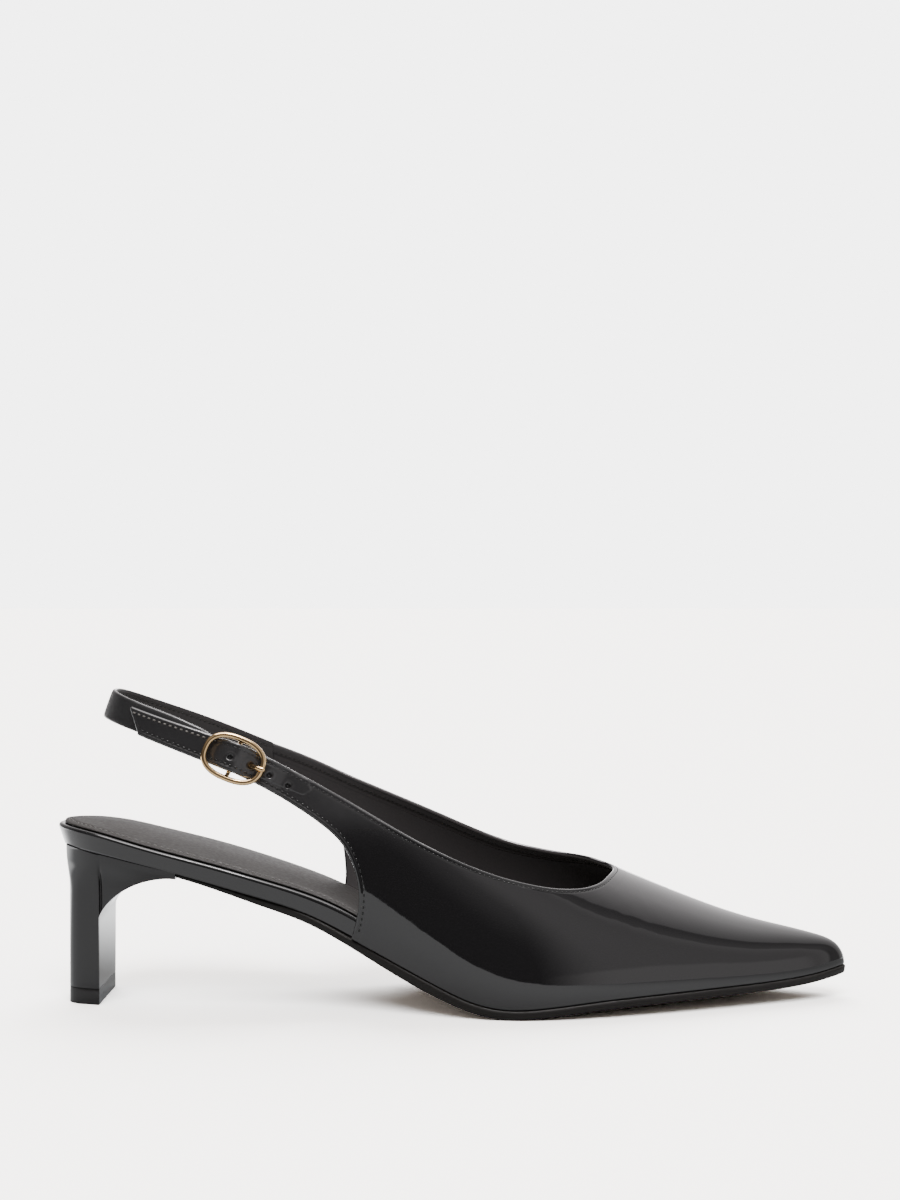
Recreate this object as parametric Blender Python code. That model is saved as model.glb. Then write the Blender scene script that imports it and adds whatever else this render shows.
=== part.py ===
"""Pointed toe slingback shoe for the right foot.

The toe points along +X, the outer side of the foot is -Y and the shoe
stands on Z = 0. Sizes are in millimetres and are turned to metres where
each mesh is made.
"""
import bpy
import bmesh
import numpy as np
from mathutils import Vector

MM = 0.001
GAP = 0.3

# Driving dimensions
LENGTH = 261.4
HALF = LENGTH / 2
AXIS_Y = 3.1
UPPER_WALL = 1.5
STRAP_WALL = 1.5
STRAP_WIDTH = 8.8
SOLE_THICKNESS = 2.6
SOLE_REAR_SHARE = 0.45
SOLE_REAR_X = -88.4
SOLE_TAPER = 37.0
SOLE_WAIST = 0.9
SOLE_WAIST_X = -12.0
SOLE_BEVEL = 0.4
FOOTBED_FRONT_X = 114.0
BAND_FLARE = 1.9
BAND_ROUND = 0.9
SOCK_THICKNESS = 1.4
SOCK_FRONT_X = 104.0
SOCK_INSET = 1.6
SOCK_BEVEL = 0.6

# Heel: slab at the floor, seat at the top, and shares of its height
HEEL_TIP_HEIGHT = 5.1
HEEL_WIDTH = 31.6
HEEL_SPREAD = 1.4
HEEL_TAPER = 0.22
HEEL_SLAB_POWER = 5.0
HEEL_BREAST_X = -114.8
HEEL_BACK_X = -126.0
HEEL_SEAT_BACK_X = -127.5
HEEL_SEAT_FRONT_X = -88.9
HEEL_SEAT_HALF = 23.2
HEEL_SEAT_POWER = 2.4
HEEL_FLARE_POWER = 2.6
FLARE_LEVEL = 0.68
WING_START = 0.35
ARCH_LEVELS = (0.49, 0.945)
ARCH_POWER = 1.4

# Strap loop seen from above and its inward lean
LOOP_BACK_X = -114.6
LOOP_CENTRE_X = -62.0
LOOP_HALF = 27.5
LOOP_POWER = 2.4
LOOP_LEAN = 0.18
LOOP_BACK_LEAN = 0.36
LOOP_BLEND_X = (-58.0, -30.0)

# Buckle sizes, in its own frame: along the strap, across it and outward
BUCKLE_X = -69.6
BUCKLE_Z = 80.8
BUCKLE_SLOPE = np.radians(22.0)
FRAME_LENGTH = 20.9
FRAME_WIDTH = 15.2
FRAME_WIRE = 2.0
FRAME_POWER = 2.5
FRAME_OUT = 3.3
BAR_WIRE = 1.4
PRONG_WIRE = 1.2
TAIL_OUT = STRAP_WALL + GAP
STRAP_RISE = 3.4
STRAP_RISE_HALF = 8.6
STRAP_SETTLE = (10.0, 19.0)
FOLD_WALL = 1.2
FOLD_REACH = 7.5
SLOT_ALONG = (-2.7, 3.0)
SLOT_HALF = 1.1
SLOT_OUT = (-2.2, 4.0)
HOLE_RADIUS = 0.75
HOLE_DEPTH = (-4.0, 2.5)

# Where the upper's grid changes its spacing: on the sole and on the topline
TOE_SPACING_X = 72.0
THROAT_SPACING_X = 5.0

# Edge of the last seen from above, side by side along the shoe
OUTLINE = (
    ("x", "lateral", "medial"),
    (-130.7, 0.0, 0.0),
    (-126.0, -12.0, 12.0),
    (-116.0, -20.0, 19.8),
    (-100.0, -24.7, 24.3),
    (-80.0, -26.6, 25.4),
    (-55.0, -27.2, 24.0),
    (-30.0, -29.3, 23.4),
    (-10.0, -34.4, 26.8),
    (10.0, -39.0, 31.4),
    (28.0, -40.2, 34.2),
    (45.0, -37.9, 33.9),
    (65.0, -32.0, 30.0),
    (85.0, -24.4, 24.2),
    (105.0, -16.0, 17.0),
    (120.0, -8.8, 10.0),
    (127.0, -4.4, 5.4),
    (130.7, 0.0, 0.0),
)

# Heights along the shoe: top edge of the outsole, how far the tread hangs
# below that edge at the middle, height of the covered band, and how far
# the band and the outsole are set in from the last
PROFILE = (
    ("x", "base", "tread_drop", "band", "band_inset", "sole_inset"),
    (-130.7, 51.5, 0.0, 6.8, 0.0, 2.2),
    (-116.0, 49.9, 0.0, 6.6, 0.0, 2.2),
    (-100.0, 46.6, 0.0, 6.0, 0.0, 2.2),
    (-80.0, 41.45, 0.0, 6.05, 0.1, 2.2),
    (-62.0, 36.2, 0.0, 6.15, 0.6, 2.0),
    (-48.0, 31.5, 0.1, 6.35, 1.7, 1.6),
    (-32.0, 23.6, 0.2, 7.3, 2.1, 0.4),
    (-16.0, 15.3, 0.3, 5.4, 2.1, -0.3),
    (-4.0, 9.4, 0.5, 4.0, 2.1, -0.4),
    (6.0, 5.2, 0.8, 3.3, 2.1, -0.4),
    (16.0, 3.2, 1.2, 3.0, 2.1, -0.4),
    (28.0, 3.5, 1.7, 3.0, 2.1, -0.4),
    (45.0, 5.2, 2.4, 3.0, 2.1, -0.4),
    (65.0, 6.3, 2.2, 3.0, 2.1, -0.4),
    (85.0, 7.0, 1.6, 3.0, 2.1, -0.4),
    (105.0, 7.7, 1.0, 3.0, 2.1, -0.4),
    (118.0, 8.7, 0.5, 3.0, 2.1, -0.4),
    (130.7, 10.7, 0.0, 3.0, 2.1, -0.4),
)

# Cross sections of the last: place and height of the crest, how far each
# wall bulges past the sole, and the shares that round wall and crown
SECTIONS = (
    ("x", "crest_y", "crest_z", "bulge_lateral", "bulge_medial", "wall", "crown"),
    (-110.0, 0.0, 150.0, 4.0, 6.0, 0.50, 0.95),
    (-75.0, 1.0, 122.0, 4.0, 7.0, 0.50, 0.95),
    (-40.0, 2.0, 95.0, 4.5, 12.0, 0.50, 1.00),
    (-10.0, 4.0, 75.0, 3.0, 10.0, 0.50, 0.86),
    (20.0, 4.5, 58.5, 2.2, 5.0, 0.50, 0.68),
    (45.0, 4.0, 46.8, 1.8, 2.0, 0.50, 0.60),
    (61.0, 3.0, 40.0, 1.5, 1.6, 0.52, 0.58),
    (80.0, 2.0, 32.4, 1.2, 1.2, 0.55, 0.57),
    (98.0, 1.2, 26.3, 0.8, 0.8, 0.56, 0.57),
    (112.0, 0.7, 22.9, 0.5, 0.5, 0.56, 0.57),
    (120.0, 0.4, 20.9, 0.3, 0.3, 0.56, 0.57),
    (127.0, 0.1, 18.2, 0.1, 0.1, 0.56, 0.57),
    (130.7, 0.0, 11.0, 0.0, 0.0, 0.56, 0.57),
)

# Top edge of the upper from the strap's tail round the throat to the
# inner quarter: side -1 is lateral, 0 the crest, 1 medial
TOPLINE = (
    ("x", "z", "side"),
    (-103.7, 97.5, -1),
    (-90.0, 92.9, -1),
    (-77.5, 88.4, -1),
    (-65.0, 83.6, -1),
    (-52.3, 78.0, -1),
    (-33.2, 67.8, -1),
    (-10.2, 54.8, -1),
    (8.9, 46.2, -1),
    (24.3, 41.5, -1),
    (36.8, 39.5, -1),
    (44.3, 39.9, -1),
    (50.6, 41.7, -1),
    (53.4, 43.3, 0),
    (50.3, 43.8, 1),
    (42.4, 45.2, 1),
    (30.0, 46.9, 1),
    (18.0, 49.6, 1),
    (5.6, 54.3, 1),
    (-15.2, 63.2, 1),
    (-36.0, 71.8, 1),
    (-62.0, 82.3, 1),
)

# Free lower edge of each quarter, from the strap down to the sole
LATERAL_EDGE = (
    ("x", "z"),
    (-101.0, 88.4),
    (-79.0, 80.1),
    (-60.0, 71.9),
    (-48.4, 65.2),
    (-40.8, 59.8),
    (-34.9, 53.9),
    (-31.7, 47.6),
    (-30.0, 40.7),
    (-30.0, 33.4),
    (-32.1, 24.4),
)
MEDIAL_EDGE = (
    ("x", "z"),
    (-62.0, 72.8),
    (-52.0, 67.1),
    (-45.0, 61.3),
    (-40.5, 55.0),
    (-38.0, 48.0),
    (-37.0, 41.0),
    (-36.8, 34.0),
    (-38.3, 27.4),
)

# Sling strap: height of its middle line on each side
SLING = (
    ("x", "lateral", "medial"),
    (-114.6, 97.9, 97.9),
    (-103.0, 94.2, 93.5),
    (-90.0, 89.8, 88.8),
    (-79.0, 85.0, 84.6),
    (-70.0, 81.2, 81.0),
    (-62.0, 77.6, 77.6),
)

# Folded end of the sling strap round the bar, and the prong's path, both
# along the strap and outward from it
SLING_FOLD = (
    ("along", "out"),
    (-5.6, -0.95),
    (-3.6, -0.82),
    (-1.8, -0.60),
    (0.0, -0.40),
    (1.13, 0.07),
    (1.60, 1.20),
    (1.13, 2.33),
    (0.0, 2.80),
    (-1.5, 2.35),
    (-3.0, 1.65),
)
PRONG = (
    ("along", "out"),
    (0.00, 2.75),
    (-1.10, 2.30),
    (-1.55, 1.20),
    (-1.10, 0.10),
    (0.00, -0.35),
    (1.50, -0.30),
    (3.00, 0.10),
    (4.40, 1.00),
    (5.60, 2.10),
    (6.80, 3.20),
    (8.00, 4.40),
    (9.50, 5.08),
    (10.80, 5.10),
)
# Holes of the buckle strap, the second one taken by the prong
HOLES = (
    ("along", "across", "length"),
    (-1.0, 0.0, 1.5),
    (5.7, 0.0, 2.7),
    (12.4, -0.5, 1.5),
    (19.1, -1.3, 1.5),
)
BAR = (
    ("across", "out"),
    (-6.60, 3.30),
    (-6.00, 2.75),
    (-5.45, 1.80),
    (-4.90, 1.22),
    (-4.00, 1.20),
    (-2.00, 1.20),
    (0.00, 1.20),
    (2.00, 1.20),
    (4.00, 1.20),
    (4.90, 1.22),
    (5.45, 1.80),
    (6.00, 2.75),
    (6.60, 3.30),
)


def column(table, name):
    """One named column of a table as an array."""
    place = table[0].index(name)
    return np.array([row[place] for row in table[1:]], float)


def spline(knots, values, at):
    """Natural cubic through the knots, at the places asked for."""
    at = np.asarray(at, float)
    step = np.diff(knots)
    slope = np.diff(values) / step
    count = len(knots)
    system = np.eye(count)
    target = np.zeros(count)
    for row in range(1, count - 1):
        system[row, row - 1] = step[row - 1]
        system[row, row] = 2 * (step[row - 1] + step[row])
        system[row, row + 1] = step[row]
        target[row] = 6 * (slope[row] - slope[row - 1])
    bend = np.linalg.solve(system, target)
    cell = np.clip(np.searchsorted(knots, at) - 1, 0, count - 2)
    past = at - knots[cell]
    width = step[cell]
    first = slope[cell] - width * (2 * bend[cell] + bend[cell + 1]) / 6
    third = (bend[cell + 1] - bend[cell]) / (6 * width)
    return values[cell] + past * (first + past * (bend[cell] / 2 + past * third))


def turn(x):
    """Angle along the shoe, 0 at the heel and pi at the toe tip."""
    return np.arccos(np.clip(-np.asarray(x, float) / HALF, -1, 1))


def outline(x, side):
    """Edge of the last on one side at x."""
    name = "lateral" if side < 0 else "medial"
    return spline(turn(column(OUTLINE, "x")), column(OUTLINE, name), turn(x))


def profile(x, name):
    """One height of the profile table at x."""
    return spline(column(PROFILE, "x"), column(PROFILE, name), x)


def section(x, name):
    """One value of the section table at x."""
    return spline(turn(column(SECTIONS, "x")), column(SECTIONS, name), turn(x))


def bezier(share, a, b, c, d):
    """Cubic curve through a and d pulled towards b and c."""
    rest = 1 - share
    middle = 3 * rest * share * (rest * b + share * c)
    return rest ** 3 * a + middle + share ** 3 * d


def section_height(x, share):
    """Height on the last's wall at a share from the sole to the crest."""
    low = profile(x, "base") + GAP
    high = section(x, "crest_z")
    high = np.maximum(high, low)
    return bezier(share, low, low + section(x, "wall") * (high - low), high, high)


def loop_half(x):
    """Half width of the strap loop seen from above."""
    share = np.clip((LOOP_CENTRE_X - x) / (LOOP_CENTRE_X - LOOP_BACK_X), 0, 1)
    return LOOP_HALF * (1 - share ** LOOP_POWER) ** (1 / LOOP_POWER)


def sling_middle(x, side):
    """Height of the strap's middle line at x."""
    name = "lateral" if side < 0 else "medial"
    return spline(column(SLING, "x"), column(SLING, name), x)


def smooth(value):
    """Soft step from 0 to 1."""
    value = np.clip(value, 0, 1)
    return value * value * (3 - 2 * value)


def shell(x, share, side):
    """Point of the last's outer surface at x and a share of its wall."""
    x = np.asarray(x, float)
    edge = outline(x, side)
    crest = section(x, "crest_y")
    bulge = section(x, "bulge_lateral" if side < 0 else "bulge_medial")
    crown = crest + section(x, "crown") * (edge - crest)
    across = bezier(share, edge, edge + side * bulge, crown, crest)
    height = section_height(x, share)
    above = height - sling_middle(np.minimum(x, LOOP_CENTRE_X), side)
    strap = side * (loop_half(x) - LOOP_LEAN * above)
    low, high = LOOP_BLEND_X
    mix = smooth((x - low) / (high - low))
    return np.stack([x, across * mix + strap * (1 - mix), height], -1)


def wall_share(x, height):
    """Share of the wall at which the last reaches a height."""
    low = np.zeros_like(np.asarray(x, float))
    high = np.ones_like(low)
    for _ in range(40):
        middle = (low + high) / 2
        below = section_height(x, middle) < height
        low = np.where(below, middle, low)
        high = np.where(below, high, middle)
    return (low + high) / 2


def outward(x, share, side):
    """Outward unit normal of the last."""
    along = shell(x + 0.05, share, side) - shell(x - 0.05, share, side)
    up = shell(x, share + 0.002, side) - shell(x, share - 0.002, side)
    normal = np.cross(along, up)
    return normal / np.linalg.norm(normal, axis=-1, keepdims=True)


def arc(points):
    """Length along a row of points, from 0."""
    steps = np.linalg.norm(np.diff(points, axis=0), axis=1)
    return np.concatenate([[0], np.cumsum(steps)])


def edge_curve(table, side):
    """Lower edge of a quarter as knots of length, x and wall share."""
    x = column(table, "x")
    share = wall_share(x, column(table, "z"))
    share[-1] = 0.0
    return arc(shell(x, share, side)), x, share


def topline_curve():
    """Top edge as knots of length, x, share and the number of the crest's knot.

    The share passes 1 at the crest and runs on to 2 on the medial side.
    """
    x = column(TOPLINE, "x")
    side = column(TOPLINE, "side")
    share = wall_share(x, column(TOPLINE, "z"))
    share[side == 0] = 1.0
    lateral = shell(x, share, -1)
    medial = shell(x, share, 1)
    points = np.where(side[:, None] <= 0, lateral, medial)
    centre = int(np.flatnonzero(side == 0)[0])
    return arc(points), x, np.where(side <= 0, share, 2 - share), centre


def half_grid(side, columns, rows):
    """Grid of one half of the upper, from its lower edge to its top edge.

    The columns number those along the free edge of the quarter, those along
    the sole up to the throat, and those from the throat to the toe tip.
    """
    free, throat, toe = columns
    knots, edge_x, edge_share = edge_curve(LATERAL_EDGE if side < 0 else MEDIAL_EDGE, side)
    place = np.linspace(0, knots[-1], free + 1)
    middle_turn = np.linspace(turn(edge_x[-1]), turn(TOE_SPACING_X), throat + 1)[1:]
    toe_turn = np.linspace(turn(TOE_SPACING_X), np.pi, toe + 1)[1:]
    sole_x = -HALF * np.cos(np.concatenate([middle_turn, toe_turn]))
    low_x = np.concatenate([spline(knots, edge_x, place), sole_x])
    low_share = np.concatenate([spline(knots, edge_share, place), np.zeros(throat + toe)])
    knots, top_x, top_share, centre = topline_curve()
    end = knots[0] if side < 0 else knots[-1]
    split = np.interp(THROAT_SPACING_X, top_x[:centre], knots[:centre])
    if side > 0:
        split = np.interp(-THROAT_SPACING_X, -top_x[centre:], knots[centre:])
    rear_place = np.linspace(end, split, free + 1)
    throat_place = np.linspace(split, knots[centre], throat + 1)[1:]
    place = np.concatenate([rear_place, throat_place])
    line_share = spline(knots, top_share, place)
    line_share = line_share if side < 0 else 2 - line_share
    line_share[-1] = 1.0
    crest_turn = np.linspace(turn(column(TOPLINE, "x")[centre]), np.pi, toe + 1)[1:]
    high_x = np.concatenate([spline(knots, top_x, place), -HALF * np.cos(crest_turn)])
    high_share = np.concatenate([np.clip(line_share, 0, 1), np.ones(toe)])
    blend = np.linspace(0, 1, rows + 1)[None, :]
    x = low_x[:, None] * (1 - blend) + high_x[:, None] * blend
    share = low_share[:, None] * (1 - blend) + high_share[:, None] * blend
    return x, share


def strap_rise(along):
    """How far the buckle strap stands out along its length from the bar."""
    angle = np.pi / 2 * np.clip(along / STRAP_RISE_HALF, -1, 1)
    low, high = STRAP_SETTLE
    return TAIL_OUT * (1 - smooth((along - low) / (high - low))) + STRAP_RISE * np.cos(angle) ** 2


def buckle_frame():
    """Axes of the buckle: along the strap, across it, outward, and its place."""
    share = wall_share(np.array([BUCKLE_X]), np.array([BUCKLE_Z]))
    place = shell(np.array([BUCKLE_X]), share, -1)[0]
    out = outward(np.array([BUCKLE_X]), share, -1)[0]
    along = np.array([np.cos(BUCKLE_SLOPE), 0, -np.sin(BUCKLE_SLOPE)])
    along = along - out * along.dot(out)
    along = along / np.linalg.norm(along)
    return along, np.cross(out, along), out, place


def buckle_points(table, first, second):
    """Points of a two-column path in the buckle's frame."""
    along, across, out, place = buckle_frame()
    axes = {"along": along, "across": across, "out": out}
    a = column(table, first)[:, None] * axes[first]
    b = column(table, second)[:, None] * axes[second]
    return place + a + b


def refine(points, pieces):
    """Smooth curve through points, cut into equal pieces."""
    knots = arc(points)
    place = np.linspace(0, knots[-1], pieces + 1)
    return np.stack([spline(knots, points[:, axis], place) for axis in range(3)], -1)


def material(name, colour, roughness, metallic=0.0):
    """Principled material with the colour and finish of one piece."""
    made = bpy.data.materials.new(name)
    made.use_nodes = True
    shader = made.node_tree.nodes["Principled BSDF"]
    shader.inputs["Base Color"].default_value = (*colour, 1.0)
    shader.inputs["Roughness"].default_value = roughness
    shader.inputs["Metallic"].default_value = metallic
    return made


def add_mesh(name, points, faces, made=None, closed=True):
    """Mesh object from points in millimetres, with equal points joined."""
    work = bmesh.new()
    verts = [work.verts.new(Vector(point) * MM) for point in np.asarray(points, float)]
    for face in faces:
        if len(set(face)) > 2:
            work.faces.new([verts[index] for index in face])
    bmesh.ops.remove_doubles(work, verts=work.verts, dist=0.01 * MM)
    bmesh.ops.dissolve_degenerate(work, dist=0.005 * MM, edges=work.edges)
    if closed:
        bmesh.ops.recalc_face_normals(work, faces=work.faces)
    mesh = bpy.data.meshes.new(name)
    work.to_mesh(mesh)
    work.free()
    thing = bpy.data.objects.new(name, mesh)
    bpy.context.scene.collection.objects.link(thing)
    thing.parent = ORIGIN
    if made:
        mesh.materials.append(made)
    return thing


def grid_faces(rows, columns, offset=0, flip=False):
    """Quads of a grid of points stored row after row."""
    faces = []
    for row in range(rows - 1):
        for step in range(columns - 1):
            start = offset + row * columns + step
            face = (start, start + 1, start + columns + 1, start + columns)
            faces.append(face[::-1] if flip else face)
    return faces


def loft_faces(rings, size, closed_path=False):
    """Quads between closed rings of equal size, following one another."""
    faces = []
    for ring in range(rings if closed_path else rings - 1):
        after = (ring + 1) % rings
        for step in range(size):
            ahead = (step + 1) % size
            near = (ring * size + step, ring * size + ahead)
            far = (after * size + ahead, after * size + step)
            faces.append(near + far)
    return faces


def ladder_faces(start, size):
    """Quads that close a ring by joining each point to its mirror point."""
    faces = []
    for step in range(size // 2):
        left = (step, step + 1)
        right = ((size - step - 1) % size, (size - step) % size)
        faces.append(tuple(dict.fromkeys(start + index for index in (*left, *right))))
    return [face for face in faces if len(face) > 2]


def tube(path, radius, sides, closed=False):
    """Points and faces of a round wire along a path."""
    count = len(path)
    if closed:
        tangent = np.roll(path, -1, 0) - np.roll(path, 1, 0)
    else:
        tangent = np.gradient(path, axis=0)
    tangent /= np.linalg.norm(tangent, axis=1, keepdims=True)
    normal = BUCKLE[2] if abs(tangent[0].dot(BUCKLE[2])) < 0.9 else BUCKLE[0]
    angle = np.arange(sides) * 2 * np.pi / sides
    points = []
    for centre, along in zip(path, tangent):
        normal = normal - along * normal.dot(along)
        normal /= np.linalg.norm(normal)
        across = np.cross(along, normal)
        ring = np.cos(angle)[:, None] * normal + np.sin(angle)[:, None] * across
        points.append(centre + radius * ring)
    faces = loft_faces(count, sides, closed)
    if not closed:
        faces += [tuple(range(sides)), tuple(range((count - 1) * sides, count * sides))]
    return np.concatenate(points), faces


def cut(target, cutter, operation="DIFFERENCE"):
    """Exact Boolean with a hidden cutter."""
    cutter.hide_render = True
    cutter.display_type = "WIRE"
    step = target.modifiers.new("cut " + cutter.name, "BOOLEAN")
    step.operation = operation
    step.solver = "EXACT"
    step.object = cutter


def cylinder(name, spot, out_range, half_width, half_length, sides=16):
    """Oval cutter through the strap at a place along and across it."""
    along, across, out, place = BUCKLE
    angle = np.arange(sides) * 2 * np.pi / sides
    run = spot[0] + half_length * np.cos(angle)
    rise = spot[1] + half_width * np.sin(angle)
    ring = place + run[:, None] * along + rise[:, None] * across
    points = [ring + level * out for level in out_range]
    faces = loft_faces(2, sides) + [tuple(range(sides)), tuple(range(sides, 2 * sides))]
    return add_mesh(name, np.concatenate(points), faces)


def edge_pairs(angles, inset):
    """Points on both sides of the last's edge, set in square to it."""
    pairs = []
    for side in (-1, 1):
        x = -HALF * np.cos(angles)
        step = 1e-4
        ahead = np.clip(angles + step, 0, np.pi)
        behind = np.clip(angles - step, 0, np.pi)
        run = -HALF * (np.cos(ahead) - np.cos(behind))
        rise = outline(-HALF * np.cos(ahead), side) - outline(-HALF * np.cos(behind), side)
        size = np.hypot(run, rise)
        inward = np.stack([rise, -run], -1) / size[:, None] * side
        ends = np.isclose(np.sin(angles), 0)
        inward[ends] = np.stack([np.cos(angles[ends]), np.zeros(ends.sum())], -1)
        pairs.append(np.stack([x, outline(x, side)], -1) + inward * np.asarray(inset)[:, None])
    return pairs


def build_upper(made):
    """Hollow vamp, quarters and holed strap."""
    points = []
    faces = []
    count = 0
    rows = 7
    for side, columns in ((-1, (52, 16, 16)), (1, (26, 16, 16))):
        x, share = half_grid(side, columns, rows)
        grid = shell(x, share, side)
        if side < 0:
            along = (grid - BUCKLE[3]).dot(BUCKLE[0])
            strap = along < STRAP_SETTLE[1]
            normal = outward(x[strap], np.clip(share[strap], 0.01, 0.99), side)
            grid[strap] += normal * strap_rise(along[strap])[:, None]
        points.append(grid.reshape(-1, 3))
        faces += grid_faces(x.shape[0], rows + 1, count, side < 0)
        count += x.size
    thing = add_mesh("upper", np.concatenate(points), faces, made, closed=False)
    wall = thing.modifiers.new("wall", "SOLIDIFY")
    wall.thickness = UPPER_WALL * MM
    wall.offset = -1.0
    wall.use_even_offset = True
    for along, across, length in HOLES[1:]:
        levels = strap_rise(np.array(along)) + np.array(HOLE_DEPTH)
        half = PRONG_WIRE / 2 + GAP if length > 2 * HOLE_RADIUS else HOLE_RADIUS
        cut(thing, cylinder("strap hole", (along, across), levels, half, length / 2))
    return thing


def sling_rows():
    """Middle line of the sling strap as rows of x, y, height and side."""
    share = np.linspace(0, 1, 23)
    swing = np.concatenate([-(1 - share[:-1]), share]) * np.pi / 2
    rows = []
    for angle in -swing:
        side = 1 if angle > 0 else -1
        power = 2 / LOOP_POWER
        x = LOOP_CENTRE_X - (LOOP_CENTRE_X - LOOP_BACK_X) * np.cos(angle) ** power
        y = side * LOOP_HALF * abs(np.sin(angle)) ** power
        rows.append((x, y, float(sling_middle(x, side)), side))
    return rows


def build_sling(made):
    """Strap round the heel, folded round the buckle's bar."""
    along, across, out, place = BUCKLE
    rows = [row for row in sling_rows() if row[3] > 0 or row[0] < BUCKLE_X - FOLD_REACH]
    plan = np.array([row[:2] for row in rows])
    tangent = np.gradient(plan, axis=0)
    tangent /= np.linalg.norm(tangent, axis=1, keepdims=True)
    inward = np.stack([-tangent[:, 1], tangent[:, 0]], -1)
    middle = np.array([row[:3] for row in rows])
    back = np.clip(inward[:, 0], 0, 1)
    lean = LOOP_LEAN + (LOOP_BACK_LEAN - LOOP_LEAN) * back ** 2
    ruling = np.concatenate([inward * lean[:, None], np.ones((len(rows), 1))], 1)
    run = np.gradient(middle, axis=0)
    steep = run[:, 2] / np.linalg.norm(run, axis=1)
    ruling *= (STRAP_WIDTH / 2 / np.sqrt(1 - steep ** 2))[:, None]
    normal = np.concatenate([inward, np.zeros((len(rows), 1))], 1)
    middle[:, :2] += inward * GAP
    middle[0, 0] -= GAP
    fold = refine(buckle_points(SLING_FOLD, "along", "out"), 26)
    fold_tangent = np.gradient(fold, axis=0)
    fold_normal = np.cross(fold_tangent, across)
    fold_normal /= np.linalg.norm(fold_normal, axis=1, keepdims=True)
    fold_normal *= np.sign(fold_normal[0].dot(normal[-1]))
    fold_ruling = np.tile(across * (STRAP_WIDTH / 2 - GAP), (len(fold), 1))
    outer = np.concatenate([middle, fold - fold_normal * FOLD_WALL / 2])
    ruling = np.concatenate([ruling, fold_ruling])
    depth = np.concatenate([normal * STRAP_WALL, fold_normal * FOLD_WALL])
    points = []
    for centre, rule, inner in zip(outer, ruling, depth):
        face = [centre + rule, centre, centre - rule]
        points.append(face + [point + inner for point in face[::-1]])
    count = len(points)
    faces = loft_faces(count, 6)
    for start in (0, (count - 1) * 6):
        faces += [(start, start + 1, start + 4, start + 5), (start + 1, start + 2, start + 3, start + 4)]
    thing = add_mesh("sling_strap", np.concatenate(points), faces, made)
    box = []
    for level in SLOT_OUT:
        for end, half in ((0, -SLOT_HALF), (1, -SLOT_HALF), (1, SLOT_HALF), (0, SLOT_HALF)):
            box.append(place + SLOT_ALONG[end] * along + half * across + level * out)
    cut(thing, add_mesh("prong slot", box, loft_faces(2, 4) + [(0, 1, 2, 3), (4, 5, 6, 7)]))
    return thing


def across_board(left, right, shares):
    """Plan points on lines across the shoe, a row of shares per station."""
    shares = np.asarray(shares)[None, :, None]
    return left[:, None] * (1 - shares) + right[:, None] * shares


def build_footbed(made):
    """Covered board whose edge shows as a band from heel to waist."""
    angles = np.linspace(0, turn(FOOTBED_FRONT_X), 44)
    inset = profile(-HALF * np.cos(angles), "band_inset")
    flare = np.clip(BAND_FLARE - BAND_ROUND * inset, 0.0, None)
    low = edge_pairs(angles, inset + flare)
    waist = edge_pairs(angles, inset + WING_START * flare)
    brim = edge_pairs(angles, inset)
    top = edge_pairs(angles, inset + BAND_ROUND)
    share = np.linspace(0, 1, 5)
    strips = (
        (across_board(*low, share), 0.0),
        (across_board(*waist, [1.0]), 0.45),
        (across_board(*brim, [1.0]), 0.85),
        (across_board(*top, share[::-1]), 1.0),
        (across_board(*brim, [0.0]), 0.85),
        (across_board(*waist, [0.0]), 0.45),
    )
    points = []
    for plan, part in strips:
        base = profile(plan[..., 0], "base") + GAP
        height = profile(plan[..., 0], "band") - GAP
        points.append(np.concatenate([plan, (base + height * part)[..., None]], -1))
    points = np.concatenate(points, 1)
    size = len(points[0])
    count = len(points)
    faces = loft_faces(count, size) + [tuple(range((count - 1) * size, count * size))]
    return add_mesh("footbed", np.concatenate(points), faces, made)


def build_insole(made):
    """Sock that lies on the footbed."""
    angles = np.linspace(0, turn(SOCK_FRONT_X), 40)
    inset = profile(-HALF * np.cos(angles), "band_inset") + SOCK_INSET
    share = np.linspace(0, 1, 5)
    low = across_board(*edge_pairs(angles, inset), share)
    high = across_board(*edge_pairs(angles, inset + SOCK_BEVEL), share[::-1])
    points = []
    for plan, lift in ((low, GAP), (high, GAP + SOCK_THICKNESS)):
        height = profile(plan[..., 0], "base") + profile(plan[..., 0], "band") + lift
        points.append(np.concatenate([plan, height[..., None]], -1))
    points = np.concatenate(points, 1)
    size = len(points[0])
    count = len(points)
    faces = loft_faces(count, size) + [tuple(range((count - 1) * size, count * size))]
    return add_mesh("insole", np.concatenate(points), faces, made)


def sole_depth(x):
    """Thickness of the sole's edge at x, thinned to the heel and fuller at the waist."""
    share = SOLE_REAR_SHARE + (1 - SOLE_REAR_SHARE) * smooth((x - SOLE_REAR_X) / SOLE_TAPER)
    waist = SOLE_WAIST * np.exp(-((x - SOLE_WAIST_X) / 18.0) ** 2)
    return SOLE_THICKNESS * share + waist


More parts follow.
